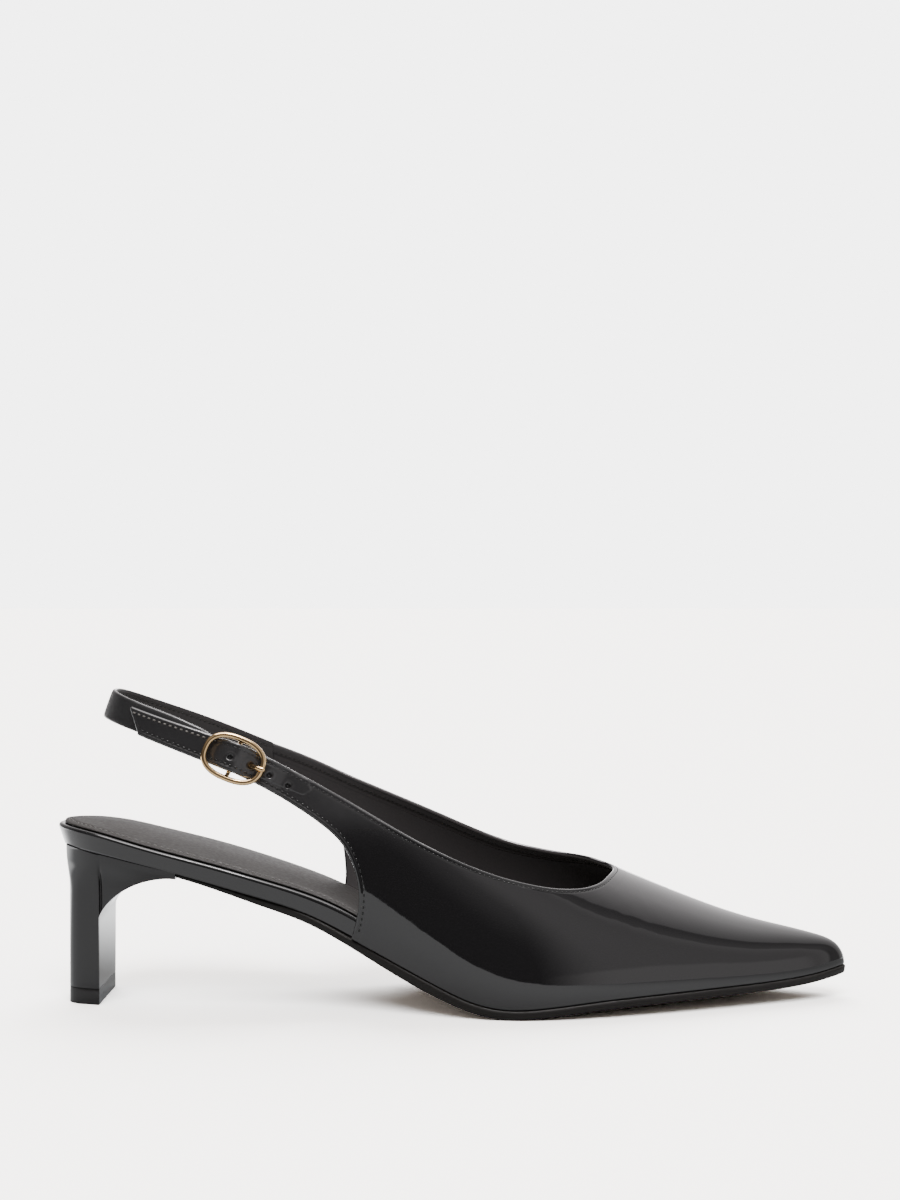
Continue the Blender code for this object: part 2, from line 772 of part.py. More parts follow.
def build_outsole(made):
    """Thin sole with a flat tread spot at the ball and a toe spring."""
    angles = np.linspace(turn(SOLE_REAR_X), np.pi, 46)
    inset = profile(-HALF * np.cos(angles), "sole_inset")
    share = np.linspace(0, 1, 9)
    low = across_board(*edge_pairs(angles, inset + SOLE_BEVEL), share)
    high = across_board(*edge_pairs(angles, inset), share[::-2])
    hang = profile(low[..., 0], "tread_drop") * 4 * share * (1 - share)
    tread = np.maximum(profile(low[..., 0], "base") - sole_depth(low[..., 0]) - hang, 0.0)
    low = np.concatenate([low, tread[..., None]], -1)
    high = np.concatenate([high, profile(high[..., 0], "base")[..., None]], -1)
    points = np.concatenate([low, high], 1)
    size = len(points[0])
    count = len(points)
    faces = loft_faces(count, size) + [tuple(range(size))]
    return add_mesh("outsole", np.concatenate(points), faces, made)


def seat_half(x):
    """Half width of the heel seat at x."""
    reach = np.clip((x - HEEL_SEAT_BACK_X) / (HEEL_SEAT_FRONT_X - HEEL_SEAT_BACK_X), 0, 1)
    return HEEL_SEAT_HALF * (1 - (1 - reach) ** HEEL_SEAT_POWER) ** (1 / HEEL_SEAT_POWER)


def heel_ring(level):
    """Outline of the heel at a share of its height, as plan points."""
    flare = smooth((level - FLARE_LEVEL) / (1 - FLARE_LEVEL)) ** ARCH_POWER
    back = HEEL_BACK_X + (HEEL_SEAT_BACK_X - HEEL_BACK_X) * flare
    half = HEEL_WIDTH / 2 + HEEL_SPREAD * level
    low, high = ARCH_LEVELS
    arch = np.clip((level - low) / (high - low), 0, 1)
    undercut = (1 - arch ** ARCH_POWER) ** (1 / ARCH_POWER)
    front = HEEL_SEAT_FRONT_X - (HEEL_SEAT_FRONT_X - HEEL_BREAST_X) * undercut
    power = HEEL_SLAB_POWER + (HEEL_FLARE_POWER - HEEL_SLAB_POWER) * flare
    seat_corner = seat_half(HEEL_BREAST_X)
    corner = half + (seat_corner - half) * flare
    swing = np.linspace(0, np.pi / 2, 9)
    run = np.cos(swing) ** (2 / power)
    x = HEEL_BREAST_X - (HEEL_BREAST_X - back) * run
    y = corner * np.sin(swing) ** (2 / power) * (1 - HEEL_TAPER * (1 - flare) * run)
    y = y + (np.minimum(y, seat_half(x)) - y) * flare
    wing_x = HEEL_BREAST_X + (front - HEEL_BREAST_X) * np.linspace(0.2, 1, 5)
    widening = WING_START + (1 - WING_START) * flare
    wing_y = corner + (seat_half(wing_x) - seat_corner) * widening
    side = np.concatenate([np.stack([x, y], -1), np.stack([wing_x, wing_y], -1)])
    breast = np.stack([np.full(3, front), wing_y[-1] * np.array([-0.5, 0.0, 0.5])], -1)
    return np.concatenate([side * (1, -1), breast, side[:0:-1]])


def build_heel(made):
    """Slab heel that flares into the seat, with an arched breast."""
    low, high = ARCH_LEVELS
    rise = low + (high - low) * np.sin(np.linspace(0, np.pi / 2, 14))
    levels = np.concatenate([[0, low / 2], rise, [1.0]])
    foot = HEEL_TIP_HEIGHT + GAP
    points = []
    for level in levels:
        ring = heel_ring(level)
        seat = profile(ring[:, 0], "base")
        points.append(np.concatenate([ring, (foot + level * (seat - foot))[:, None]], 1))
    size = len(points[0])
    count = len(points)
    faces = loft_faces(count, size)
    faces += ladder_faces(0, size) + ladder_faces((count - 1) * size, size)
    return add_mesh("heel", np.concatenate(points), faces, made)


def build_heel_tip(made):
    """Top piece under the heel."""
    ring = heel_ring(0.0)
    low = np.concatenate([ring, np.zeros((len(ring), 1))], 1)
    high = np.concatenate([ring, np.full((len(ring), 1), HEEL_TIP_HEIGHT)], 1)
    size = len(ring)
    faces = loft_faces(2, size) + ladder_faces(0, size) + ladder_faces(size, size)
    return add_mesh("heel_tip", np.concatenate([low, high]), faces, made)


def oval(angle, half_length, half_width):
    """Rounded oval as two rows: along its length and across it."""
    power = 2 / FRAME_POWER
    run = np.sign(np.cos(angle)) * np.abs(np.cos(angle)) ** power
    rise = np.sign(np.sin(angle)) * np.abs(np.sin(angle)) ** power
    return half_length * run, half_width * rise


def build_frame(made):
    """Oval frame of the buckle with its centre bar."""
    along, across, out, place = BUCKLE
    angle = np.arange(44) * 2 * np.pi / 44
    run, rise = oval(angle, (FRAME_LENGTH - FRAME_WIRE) / 2, (FRAME_WIDTH - FRAME_WIRE) / 2)
    ring = place + run[:, None] * along + rise[:, None] * across + FRAME_OUT * out
    points, faces = tube(ring, FRAME_WIRE / 2, 10, closed=True)
    frame = add_mesh("buckle_frame", points, faces, made)
    points, faces = tube(refine(buckle_points(BAR, "across", "out"), 24), BAR_WIRE / 2, 10)
    cut(frame, add_mesh("centre bar", points, faces), "UNION")
    return frame


def build_prong(made):
    """Wire prong, curled round the bar, through the strap and over the frame."""
    path = refine(buckle_points(PRONG, "along", "out"), 40)
    points, faces = tube(path, PRONG_WIRE / 2, 8)
    return add_mesh("buckle_prong", points, faces, made)


for old in list(bpy.data.objects):
    bpy.data.objects.remove(old)

ORIGIN = bpy.data.objects.new("shoe origin", None)
bpy.context.scene.collection.objects.link(ORIGIN)
ORIGIN.location = (0.0, AXIS_Y * MM, 0.0)
BUCKLE = buckle_frame()

BLACK = (0.006, 0.006, 0.006)
GOLD = (0.83, 0.66, 0.38)
build_upper(material("black patent upper", BLACK, 0.08))
build_sling(material("black patent strap", BLACK, 0.08))
build_footbed(material("black patent cover", BLACK, 0.1))
build_insole(material("dark sock lining", (0.02, 0.018, 0.016), 0.6))
build_outsole(material("dark sole", (0.012, 0.011, 0.010), 0.5))
build_heel(material("black patent heel", BLACK, 0.08))
build_heel_tip(material("black heel rubber", (0.012, 0.012, 0.012), 0.6))
build_frame(material("pale gold frame", GOLD, 0.2, 1.0))
build_prong(material("pale gold prong", GOLD, 0.2, 1.0))
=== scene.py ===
"""Looks of a black patent slingback shoe for the right foot.

The toe points along +X and the outer side of the foot is -Y. Sizes are in
millimetres from the shoe's own axis and become metres where a mesh is made.
"""

import bmesh
import bpy
import numpy as np
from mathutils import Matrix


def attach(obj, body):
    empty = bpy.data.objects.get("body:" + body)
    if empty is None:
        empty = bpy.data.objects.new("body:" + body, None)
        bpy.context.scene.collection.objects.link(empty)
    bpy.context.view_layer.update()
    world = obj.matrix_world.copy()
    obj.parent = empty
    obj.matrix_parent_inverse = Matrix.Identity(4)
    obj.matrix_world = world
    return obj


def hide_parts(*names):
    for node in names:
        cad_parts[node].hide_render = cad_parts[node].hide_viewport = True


MM = 0.001
GAP = 0.3

# Main sizes
LENGTH = 261.4
HALF = LENGTH / 2
AXIS_Y = 3.1
WALL = 1.5
STRAP_WIDTH = 8.8
SOLE_THICKNESS = 2.6
SOLE_REAR_SHARE = 0.45
SOLE_TAPER = 37.0
SOLE_WAIST = 0.9
SOLE_WAIST_X = -12.0
SOLE_WAIST_REACH = 18.0
SOLE_REAR_X = -88.9
SOLE_BEVEL = 0.4
SOLE_TOP_ROUND = 0.6
FOOTBED_FRONT_X = 114.0
BAND_FLARE = 1.9
BAND_ROUND = 1.1
BAND_SIDE_SHARE = 0.83
SOCK_BORDER = 1.0
SOCK_FRONT_X = 104.0
SOCK_INSET = 2.0
SOCK_CROWN = 1.7
SOCK_CROWN_REACH = 19.0
SOCK_HEEL_CROWN = 0.3
SOCK_ROW_SINK = 0.3
SOCK_DROOP = 0.15
SOCK_NEAR_DROOP = 0.5

# Heel: slab at the floor, seat at the top, and shares of its height
HEEL_TIP_HEIGHT = 5.1
HEEL_WIDTH = 31.6
HEEL_SPREAD = 1.4
HEEL_TAPER = 0.22
HEEL_SLAB_POWER = 5.0
HEEL_BREAST_X = -114.8
HEEL_BACK_X = -126.0
HEEL_SEAT_BACK_X = -127.5
HEEL_SEAT_FRONT_X = -88.9
HEEL_SEAT_HALF = 24.6
HEEL_SEAT_POWER = 2.4
HEEL_FLARE_POWER = 2.6
FLARE_LEVEL = 0.68
WING_START = 0.35
ARCH_LEVELS = (0.52, 0.945)
ARCH_POWER = 1.4
GROOVE_DEPTH = 0.5
GROOVE_WIDTH = 0.42
GROOVE_AHEAD = 0.5
GROOVE_TOP = 0.99
WING_SET_IN = 0.6
WING_SET_IN_REACH = 9.0
HEEL_EDGE_ROUND = 0.2

# Strap loop seen from above and its inward lean
LOOP_BACK_X = -114.6
LOOP_CENTRE_X = -62.0
LOOP_HALF = 27.5
LOOP_POWER = 2.4
LOOP_LEAN = 0.18
LOOP_BACK_LEAN = 0.36
LOOP_BLEND_X = (-58.0, -30.0)

# Buckle sizes, in its own frame: along the strap, across it and outward
BUCKLE_X = -69.6
BUCKLE_Z = 80.8
BUCKLE_SLOPE = np.radians(22.0)
FRAME_LENGTH = 20.9
FRAME_WIDTH = 15.2
FRAME_WIRE = 1.8
FRAME_POWER = 2.5
FRAME_OUT = 3.3
BAR_WIRE = 1.4
PRONG_WIRE = 1.5
TAIL_OUT = WALL + GAP
STRAP_RISE = 3.4
STRAP_RISE_HALF = 8.6
STRAP_SETTLE = (10.0, 19.0)
FOLD_WALL = 1.2
FOLD_REACH = 7.5
FOLD_PIECES = 26

# Sling strap: stations along it, its section, its lining and its sewn part
STRAP_STATIONS = 260
FOLD_STATIONS = 80
STRAP_SIDES = 72
STRAP_SEWN = slice(4, 255)
STRAP_SQUARENESS = 0.45
STRAP_LINING_SHARE = 0.93
STRAP_ROW_SINK = 0.12
STRAP_THREAD_SHARE = 0.92

# Sewing: pitch and size of a stitch, and how far rows lie from an edge
STITCH_PITCH = 1.6
STITCH_LENGTH = 1.2
STITCH_RADIUS = 0.15
TOP_ROW = 1.55
EDGE_ROW = 1.8
SOCK_ROW = 2.0
FOLD_DEPTH = 3.0
INNER_ROW = 2.4
ROW_WIDTH = 0.34
TAIL_ROW_X = -78.0
TAIL_STITCH = {"pitch": 1.9, "length": 1.25, "radius": 0.28}
QUARTER_STITCH = {"pitch": 1.9, "length": 1.35, "radius": 0.26}
SOCK_STITCH = {"pitch": 2.2, "length": 1.5, "radius": 0.34}

# Relief of the patent: rolled edge, sunk row, hole rims and the stiffener's pointed end
ROLL_PLACE = 0.75
ROLL_WIDTH = 0.6
ROLL_HEIGHT = 0.1
ROW_SINK = 0.09
RIM_RADIUS = 1.35
RIM_WIDTH = 0.35
RIM_HEIGHT = 0.16
DISH_DEPTH = 0.1
DISH_RADIUS = 2.6
HOLE_RADIUS = 0.8
HOLE_DEPTH = 1.15
STIFFENER_END = 26.5
STIFFENER_HALF = 2.7
STIFFENER_ACROSS = 0.2
STIFFENER_HEIGHT = 0.2
STIFFENER_EDGE = 0.6

# Edges of the upper: lining, turned edge, and where wall and relief thin out at the toe
FAR_FROM_EDGE = 50.0
LINING_FROM = 0.9
TURNED_EDGE = 0.12
TURNED_EDGE_WIDTH = 0.15
TURNED_SHARE = 0.6
TOE_WALL_REACH = 6.0
TOE_RELIEF_REACH = 12.0

# Where the film flexes: place and reach along the shoe, in height and along the strap
VAMP_FLEX_X = (56.0, 16.0)
VAMP_FLEX_Z = (31.0, 7.0)
ROOT_FLEX_PLACE = (40.0, 12.0)

# Ripples of the film: height, wavelength and seed
FILM_SLOW = (0.022, 26.0, 3)
FILM_FINE = (0.006, 9.0, 5)
VAMP_FLEX = (0.016, 5.5, 17)
ROOT_FLEX = (0.035, 4.5, 11)
STRAP_FLEX = (0.025, 5.0, 13)

# Edge of the last seen from above, side by side along the shoe
OUTLINE = (
    ("x", "lateral", "medial"),
    (-130.7, 0.0, 0.0),
    (-126.0, -12.0, 12.0),
    (-116.0, -20.0, 19.8),
    (-100.0, -24.7, 24.3),
    (-80.0, -26.6, 25.4),
    (-55.0, -27.2, 24.0),
    (-30.0, -29.3, 23.4),
    (-10.0, -34.4, 26.8),
    (10.0, -39.0, 31.4),
    (28.0, -40.2, 34.2),
    (45.0, -37.9, 33.9),
    (65.0, -32.0, 30.0),
    (85.0, -24.4, 24.2),
    (105.0, -16.0, 17.0),
    (120.0, -8.8, 10.0),
    (127.0, -4.4, 5.4),
    (130.7, 0.0, 0.0),
)

# Heights along the shoe: top edge of the outsole, how far the tread hangs
# below that edge at the middle, height of the covered band, and how far
# the band and the outsole are set in from the last
PROFILE = (
    ("x", "base", "tread_drop", "band", "band_inset", "sole_inset"),
    (-130.7, 51.5, 0.0, 6.8, 0.0, 2.2),
    (-116.0, 49.9, 0.0, 6.6, 0.0, 2.2),
    (-100.0, 46.6, 0.0, 6.0, 0.0, 2.2),
    (-80.0, 41.45, 0.0, 6.05, 0.1, 2.2),
    (-62.0, 36.2, 0.0, 6.15, 0.6, 2.0),
    (-48.0, 31.5, 0.1, 6.35, 1.7, 1.6),
    (-32.0, 23.6, 0.2, 7.3, 2.1, 0.4),
    (-16.0, 15.3, 0.3, 5.4, 2.1, -0.3),
    (-4.0, 9.4, 0.5, 4.0, 2.1, -0.4),
    (6.0, 5.2, 0.8, 3.3, 2.1, -0.4),
    (16.0, 3.2, 1.2, 3.0, 2.1, -0.4),
    (28.0, 3.5, 1.7, 3.0, 2.1, -0.4),
    (45.0, 5.2, 2.4, 3.0, 2.1, -0.4),
    (65.0, 6.3, 2.2, 3.0, 2.1, -0.4),
    (85.0, 7.0, 1.6, 3.0, 2.1, -0.4),
    (105.0, 7.7, 1.0, 3.0, 2.1, -0.4),
    (118.0, 8.7, 0.5, 3.0, 2.1, -0.4),
    (130.7, 10.7, 0.0, 3.0, 2.1, -0.4),
)

# Cross sections of the last: place and height of the crest, how far each
# wall bulges past the sole, and the shares that round wall and crown
SECTIONS = (
    ("x", "crest_y", "crest_z", "bulge_lateral", "bulge_medial", "wall", "crown"),
    (-110.0, 0.0, 150.0, 4.0, 6.0, 0.50, 0.95),
    (-75.0, 1.0, 122.0, 4.0, 7.0, 0.50, 0.95),
    (-40.0, 2.0, 95.0, 4.5, 12.0, 0.50, 1.00),
    (-10.0, 4.0, 75.0, 3.0, 10.0, 0.50, 0.86),
    (20.0, 4.5, 58.5, 2.2, 5.0, 0.50, 0.68),
    (45.0, 4.0, 46.8, 1.8, 2.0, 0.50, 0.60),
    (61.0, 3.0, 40.0, 1.5, 1.6, 0.52, 0.58),
    (80.0, 2.0, 32.4, 1.2, 1.2, 0.55, 0.57),
    (98.0, 1.2, 26.3, 0.8, 0.8, 0.56, 0.57),
    (112.0, 0.7, 22.9, 0.5, 0.5, 0.56, 0.57),
    (120.0, 0.4, 20.9, 0.3, 0.3, 0.56, 0.57),
    (127.0, 0.1, 18.2, 0.1, 0.1, 0.56, 0.57),
    (130.7, 0.0, 11.0, 0.0, 0.0, 0.56, 0.57),
)

# Top edge of the upper from the strap's tail round the throat to the
# inner quarter: side -1 is lateral, 0 the crest, 1 medial
TOPLINE = (
    ("x", "z", "side"),
    (-103.7, 97.5, -1),
    (-90.0, 92.9, -1),
    (-77.5, 88.8, -1),
    (-65.0, 84.2, -1),
    (-52.3, 78.2, -1),
    (-33.2, 67.8, -1),
    (-10.2, 54.8, -1),
    (8.9, 46.2, -1),
    (24.3, 41.5, -1),
    (36.8, 39.4, -1),
    (44.3, 39.5, -1),
    (48.4, 40.4, -1),
    (51.6, 41.9, -1),
    (53.5, 43.3, 0),
    (52.4, 43.4, 1),
    (49.6, 44.2, 1),
    (46.5, 44.95, 1),
    (42.0, 45.5, 1),
    (36.0, 46.0, 1),
    (30.0, 46.85, 1),
    (18.0, 49.6, 1),
    (5.6, 54.3, 1),
    (-15.2, 63.2, 1),
    (-36.0, 71.8, 1),
    (-62.0, 82.3, 1),
)

# Free lower edge of each quarter, from the strap down to the sole
LATERAL_EDGE = (
    ("x", "z"),
    (-101.0, 88.4),
    (-79.0, 80.1),
    (-60.0, 71.9),
    (-48.4, 65.2),
    (-40.8, 59.8),
    (-34.9, 53.9),
    (-31.7, 47.6),
    (-30.0, 40.7),
    (-30.0, 33.4),
    (-32.1, 24.4),
)
MEDIAL_EDGE = (
    ("x", "z"),
    (-62.0, 72.8),
    (-52.0, 67.1),
    (-45.0, 61.3),
    (-40.5, 55.0),
    (-38.0, 48.0),
    (-37.0, 41.0),
    (-36.8, 34.0),
    (-38.3, 27.4),
)

# Sling strap: height of its middle line on each side
SLING = (
    ("x", "lateral", "medial"),
    (-114.6, 97.9, 97.9),
    (-103.0, 94.2, 93.5),
    (-90.0, 89.8, 88.8),
    (-79.0, 85.0, 84.6),
    (-70.0, 81.2, 81.0),
    (-62.0, 77.6, 77.7),
)

# Folded end of the sling strap round the bar, the prong's path and the
# bar, along the strap or across it and outward from it
SLING_FOLD = (
    ("along", "out"),
    (-5.6, -0.95),
    (-3.6, -0.82),
    (-1.8, -0.60),
    (0.0, -0.40),
    (1.13, 0.07),
    (1.60, 1.20),
    (1.13, 2.33),
    (0.0, 2.80),
    (-1.5, 2.35),
    (-3.0, 1.65),
)
PRONG = (
    ("along", "out"),
    (0.00, 2.75),
    (-1.10, 2.30),
    (-1.55, 1.20),
    (-1.10, 0.10),
    (0.00, -0.35),
    (1.50, -0.30),
    (3.00, 0.10),
    (4.40, 1.00),
    (5.60, 2.10),
    (6.80, 3.20),
    (8.00, 4.40),
    (9.50, 5.08),
    (10.80, 5.10),
)
BAR = (
    ("across", "out"),
    (-6.60, 3.30),
    (-6.00, 2.75),
    (-5.45, 1.80),
    (-4.90, 1.22),
    (-4.00, 1.20),
    (-2.00, 1.20),
    (0.00, 1.20),
    (2.00, 1.20),
    (4.00, 1.20),
    (4.90, 1.22),
    (5.45, 1.80),
    (6.00, 2.75),
    (6.60, 3.30),
)
HOLES = (
    ("along", "across"),
    (-1.0, 0.0),
    (5.7, 0.0),
    (12.4, -0.5),
    (19.1, -1.3),
)


def column(table, name):
    """One named column of a table as an array."""
    place = table[0].index(name)
    return np.array([row[place] for row in table[1:]], float)


def spline(knots, values, at):
    """Natural cubic through the knots, at the places asked for."""
    at = np.asarray(at, float)
    step = np.diff(knots)
    slope = np.diff(values) / step
    count = len(knots)
    system = np.eye(count)
    target = np.zeros(count)
    for row in range(1, count - 1):
        system[row, row - 1] = step[row - 1]
        system[row, row] = 2 * (step[row - 1] + step[row])
        system[row, row + 1] = step[row]
        target[row] = 6 * (slope[row] - slope[row - 1])
    bend = np.linalg.solve(system, target)
    cell = np.clip(np.searchsorted(knots, at) - 1, 0, count - 2)
    past = at - knots[cell]
    width = step[cell]
    first = slope[cell] - width * (2 * bend[cell] + bend[cell + 1]) / 6
    third = (bend[cell + 1] - bend[cell]) / (6 * width)
    return values[cell] + past * (first + past * (bend[cell] / 2 + past * third))


def smooth(value):
    """Soft step from 0 to 1."""
    value = np.clip(value, 0, 1)
    return value * value * (3 - 2 * value)


def bump(value):
    """Bell curve, 1 at 0 and nearly nothing past 2."""
    return np.exp(-value * value)


def near(value, place, reach):
    """1 at a place, falling away to 0 about a reach from it."""
    return bump((value - place) / reach)


def rounded(value, power):
    """Value raised to a power with its sign kept."""
    return np.sign(value) * np.abs(value) ** power


def unit(vectors):
    """Vectors turned to length one."""
    return vectors / np.maximum(np.linalg.norm(vectors, axis=-1, keepdims=True), 1e-9)


def arc(points):
    """Length along a row of points, from 0."""
    steps = np.linalg.norm(np.diff(points, axis=0), axis=1)
    return np.concatenate([[0], np.cumsum(steps)])


def refine(points, pieces):
    """Smooth curve through points, cut into equal pieces."""
    knots = arc(points)
    place = np.linspace(0, knots[-1], pieces + 1)
    return np.stack([spline(knots, points[:, axis], place) for axis in range(3)], -1)


def turn(x):
    """Angle along the shoe, 0 at the heel and pi at the toe tip."""
    return np.arccos(np.clip(-np.asarray(x, float) / HALF, -1, 1))


def x_at(angle):
    """Place along the shoe at an angle of turn."""
    return -HALF * np.cos(angle)


def outline(x, side):
    """Edge of the last on one side at x."""
    name = "lateral" if side < 0 else "medial"
    return spline(turn(column(OUTLINE, "x")), column(OUTLINE, name), turn(x))


def profile(x, name):
    """One height of the profile table at x."""
    return spline(column(PROFILE, "x"), column(PROFILE, name), x)


def section(x, name):
    """One value of the section table at x."""
    return spline(turn(column(SECTIONS, "x")), column(SECTIONS, name), turn(x))


def bezier(share, a, b, c, d):
    """Cubic curve through a and d pulled towards b and c."""
    rest = 1 - share
    middle = 3 * rest * share * (rest * b + share * c)
    return rest ** 3 * a + middle + share ** 3 * d


def section_height(x, share):
    """Height on the last's wall at a share from the sole to the crest."""
    low = profile(x, "base") + GAP
    high = np.maximum(section(x, "crest_z"), low)
    return bezier(share, low, low + section(x, "wall") * (high - low), high, high)


def loop_half(x):
    """Half width of the strap loop seen from above, a rounded oval."""
    share = np.clip((LOOP_CENTRE_X - x) / (LOOP_CENTRE_X - LOOP_BACK_X), 0, 1)
    return LOOP_HALF * (1 - share ** LOOP_POWER) ** (1 / LOOP_POWER)


def sling_middle(x, side):
    """Height of the strap's middle line at x."""
    name = "lateral" if side < 0 else "medial"
    return spline(column(SLING, "x"), column(SLING, name), x)


def shell(x, share, side):
    """Point of the last at x and a share of its wall.

    Across and up it is a cubic curve from the sole's edge to the crest. Behind
    the quarters it turns into the leaning ribbon of the strap loop.
    """
    x = np.asarray(x, float)
    edge = outline(x, side)
    crest = section(x, "crest_y")
    bulge = section(x, "bulge_lateral" if side < 0 else "bulge_medial")
    crown = crest + section(x, "crown") * (edge - crest)
    across = bezier(share, edge, edge + side * bulge, crown, crest)
    height = section_height(x, share)
    above = height - sling_middle(np.minimum(x, LOOP_CENTRE_X), side)
    strap = side * (loop_half(x) - LOOP_LEAN * above)
    low, high = LOOP_BLEND_X
    mix = smooth((x - low) / (high - low))
    return np.stack([x, across * mix + strap * (1 - mix), height], -1)


def slopes(x, share, side):
    """How the last's point moves with x and with the share."""
    x = np.minimum(x, HALF - 0.4)
    share = np.clip(share, 0.004, 0.998)
    along = (shell(x + 0.05, share, side) - shell(x - 0.05, share, side)) / 0.1
    up = (shell(x, share + 0.002, side) - shell(x, share - 0.002, side)) / 0.004
    return along, up


def outward(x, share, side):
    """Outward unit normal of the last, the same from both sides at the crest."""
    along, up = slopes(x, share, side)
    normal = np.cross(along, up) * -side
    normal[..., 1] *= smooth((1 - share) / 0.04)
    return unit(normal)


def wall_share(x, height):
    """Share of the wall at which the last reaches a height, by halving."""
    low = np.zeros_like(np.asarray(x, float))
    high = np.ones_like(low)
    for _ in range(40):
        middle = (low + high) / 2
        below = section_height(x, middle) < height
        low = np.where(below, middle, low)
        high = np.where(below, high, middle)
    return (low + high) / 2


def edge_curve(side):
    """Lower edge of a quarter as knots of length, x and wall share."""
    table = LATERAL_EDGE if side < 0 else MEDIAL_EDGE
    x = column(table, "x")
    share = wall_share(x, column(table, "z"))
    share[-1] = 0.0
    return arc(shell(x, share, side)), x, share


def topline_curve():
    """Top edge as knots of length, x, share and the number of the crest's knot.

    The share passes 1 at the crest and runs on to 2 on the medial side.
    """
    x = column(TOPLINE, "x")
    side = column(TOPLINE, "side")
    share = wall_share(x, column(TOPLINE, "z"))
    share[side == 0] = 1.0
    points = np.where(side[:, None] <= 0, shell(x, share, -1), shell(x, share, 1))
    centre = int(np.flatnonzero(side == 0)[0])
    return arc(points), x, np.where(side <= 0, share, 2 - share), centre


def off_edge(x, share, side, top):
    """Step in x and share for each millimetre square off an edge, and its direction.

    The direction lies in the surface, at right angles to the edge. The two
    slopes of the surface that make it up come from a pair of equations.
    """
    tangent = unit(np.gradient(shell(x, share, side), axis=0))
    inward = np.cross(tangent, outward(x, share, side)) * (-side if top else side)
    along, up = slopes(x, share, side)
    aa = (along * along).sum(-1)
    au = (along * up).sum(-1)
    uu = (up * up).sum(-1)
    ra = (along * inward).sum(-1)
    ru = (up * inward).sum(-1)
    scale = aa * uu - au * au
    return (ra * uu - ru * au) / scale, (ru * aa - ra * au) / scale, inward


def distance_to(points, path):
    """Distance of each point from the nearest point of a closely spaced path."""
    flat = points.reshape(-1, 3)
    blocks = np.array_split(flat, max(1, len(flat) // 2000))
    near = [((block[:, None] - path[None]) ** 2).sum(-1).min(1) for block in blocks]
    return np.sqrt(np.concatenate(near)).reshape(points.shape[:-1])


def ripples(points, height, wavelength, seed):
    """Sum of eight sine waves in fixed random directions, about as high as asked for."""
    random = np.random.default_rng(seed)
    waves = unit(random.normal(size=(8, 3))) * 2 * np.pi / wavelength
    waves *= random.uniform(0.7, 1.4, (8, 1))
    phase = random.uniform(0, 2 * np.pi, 8)
    return height * np.sin(points @ waves.T + phase).sum(-1) / 4


def strap_rise(along):
    """How far the buckle strap stands out along its length from the bar."""
    angle = np.pi / 2 * np.clip(along / STRAP_RISE_HALF, -1, 1)
    low, high = STRAP_SETTLE
    return TAIL_OUT * (1 - smooth((along - low) / (high - low))) + STRAP_RISE * np.cos(angle) ** 2


def buckle_frame():
    """Axes of the buckle: along the strap, across it, outward, and its place."""
    spot = np.array([BUCKLE_X])
    share = wall_share(spot, np.array([BUCKLE_Z]))
    out = outward(spot, share, -1)[0]
    along = np.array([np.cos(BUCKLE_SLOPE), 0, -np.sin(BUCKLE_SLOPE)])
    along = unit(along - out * along.dot(out))
    return along, np.cross(out, along), out, shell(spot, share, -1)[0]


BUCKLE = buckle_frame()


def along_strap(points):
    """Distance of points from the buckle's bar, along the strap."""
    return (points - BUCKLE[3]).dot(BUCKLE[0])


def buckle_points(table, first, second):
    """Points of a two-column path in the buckle's frame."""
    along, across, out, place = BUCKLE
    axes = {"along": along, "across": across, "out": out}
    a = column(table, first)[:, None] * axes[first]
    b = column(table, second)[:, None] * axes[second]
    return place + a + b


# Finishes
def linear(code):
    """Linear colour of an sRGB hex code."""
    value = np.array([int(code[place:place + 2], 16) for place in (1, 3, 5)]) / 255
    low = value / 12.92
    high = ((value + 0.055) / 1.055) ** 2.4
    return (*np.where(value <= 0.04045, low, high).tolist(), 1.0)


def node(tree, kind, links=None, **settings):
    """Add one node, set its properties and inputs, and link or set what feeds it."""
    made = tree.nodes.new(kind)
    for name, value in settings.items():
        if name.startswith("in_"):
            made.inputs[name[3:].replace("_", " ")].default_value = value
        else:
            setattr(made, name, value)
    for name, source in (links or {}).items():
        if isinstance(source, bpy.types.NodeSocket):
            tree.links.new(source, made.inputs[name])
        else:
            made.inputs[name].default_value = source
    return made


def combine(tree, operation, *values):
    """One sum of several values, taken from left to right."""
    result = values[0]
    for value in values[1:]:
        result = node(tree, "ShaderNodeMath", {0: result, 1: value}, operation=operation).outputs[0]
    return result


def multiply_add(tree, value, factor, more):
    """Value times a factor, and more."""
    return node(tree, "ShaderNodeMath", {0: value, 1: factor, 2: more}, operation="MULTIPLY_ADD").outputs[0]


def finish(name, colour, roughness, **sockets):
    """Principled material with its fixed values, and its tree, shader and place."""
    made = bpy.data.materials.new(name)
    made.use_nodes = True
    tree = made.node_tree
    shader = tree.nodes["Principled BSDF"]
    shader.inputs["Base Color"].default_value = linear(colour)
    shader.inputs["Roughness"].default_value = roughness
    for socket, value in sockets.items():
        shader.inputs[socket.replace("_", " ")].default_value = value
    place = node(tree, "ShaderNodeTexCoord").outputs["Object"]
    return made, tree, shader, place


def noise(tree, place, size_mm, detail=2.0, stretch=(1, 1, 1)):
    """Noise whose grains are about a size in millimetres, stretched along the axes."""
    scaled = node(tree, "ShaderNodeMapping", {"Vector": place, "Scale": stretch})
    return node(tree, "ShaderNodeTexNoise", {"Vector": scaled.outputs[0]},
                in_Scale=1 / (size_mm * MM), in_Detail=detail).outputs["Fac"]


def uneven(tree, shader, height, depth_mm, strength=1.0):
    """Bump of a depth in millimetres on a shader."""
    made = node(tree, "ShaderNodeBump", {"Height": height, "Strength": strength, "Distance": depth_mm * MM})
    tree.links.new(made.outputs[0], shader.inputs["Normal"])


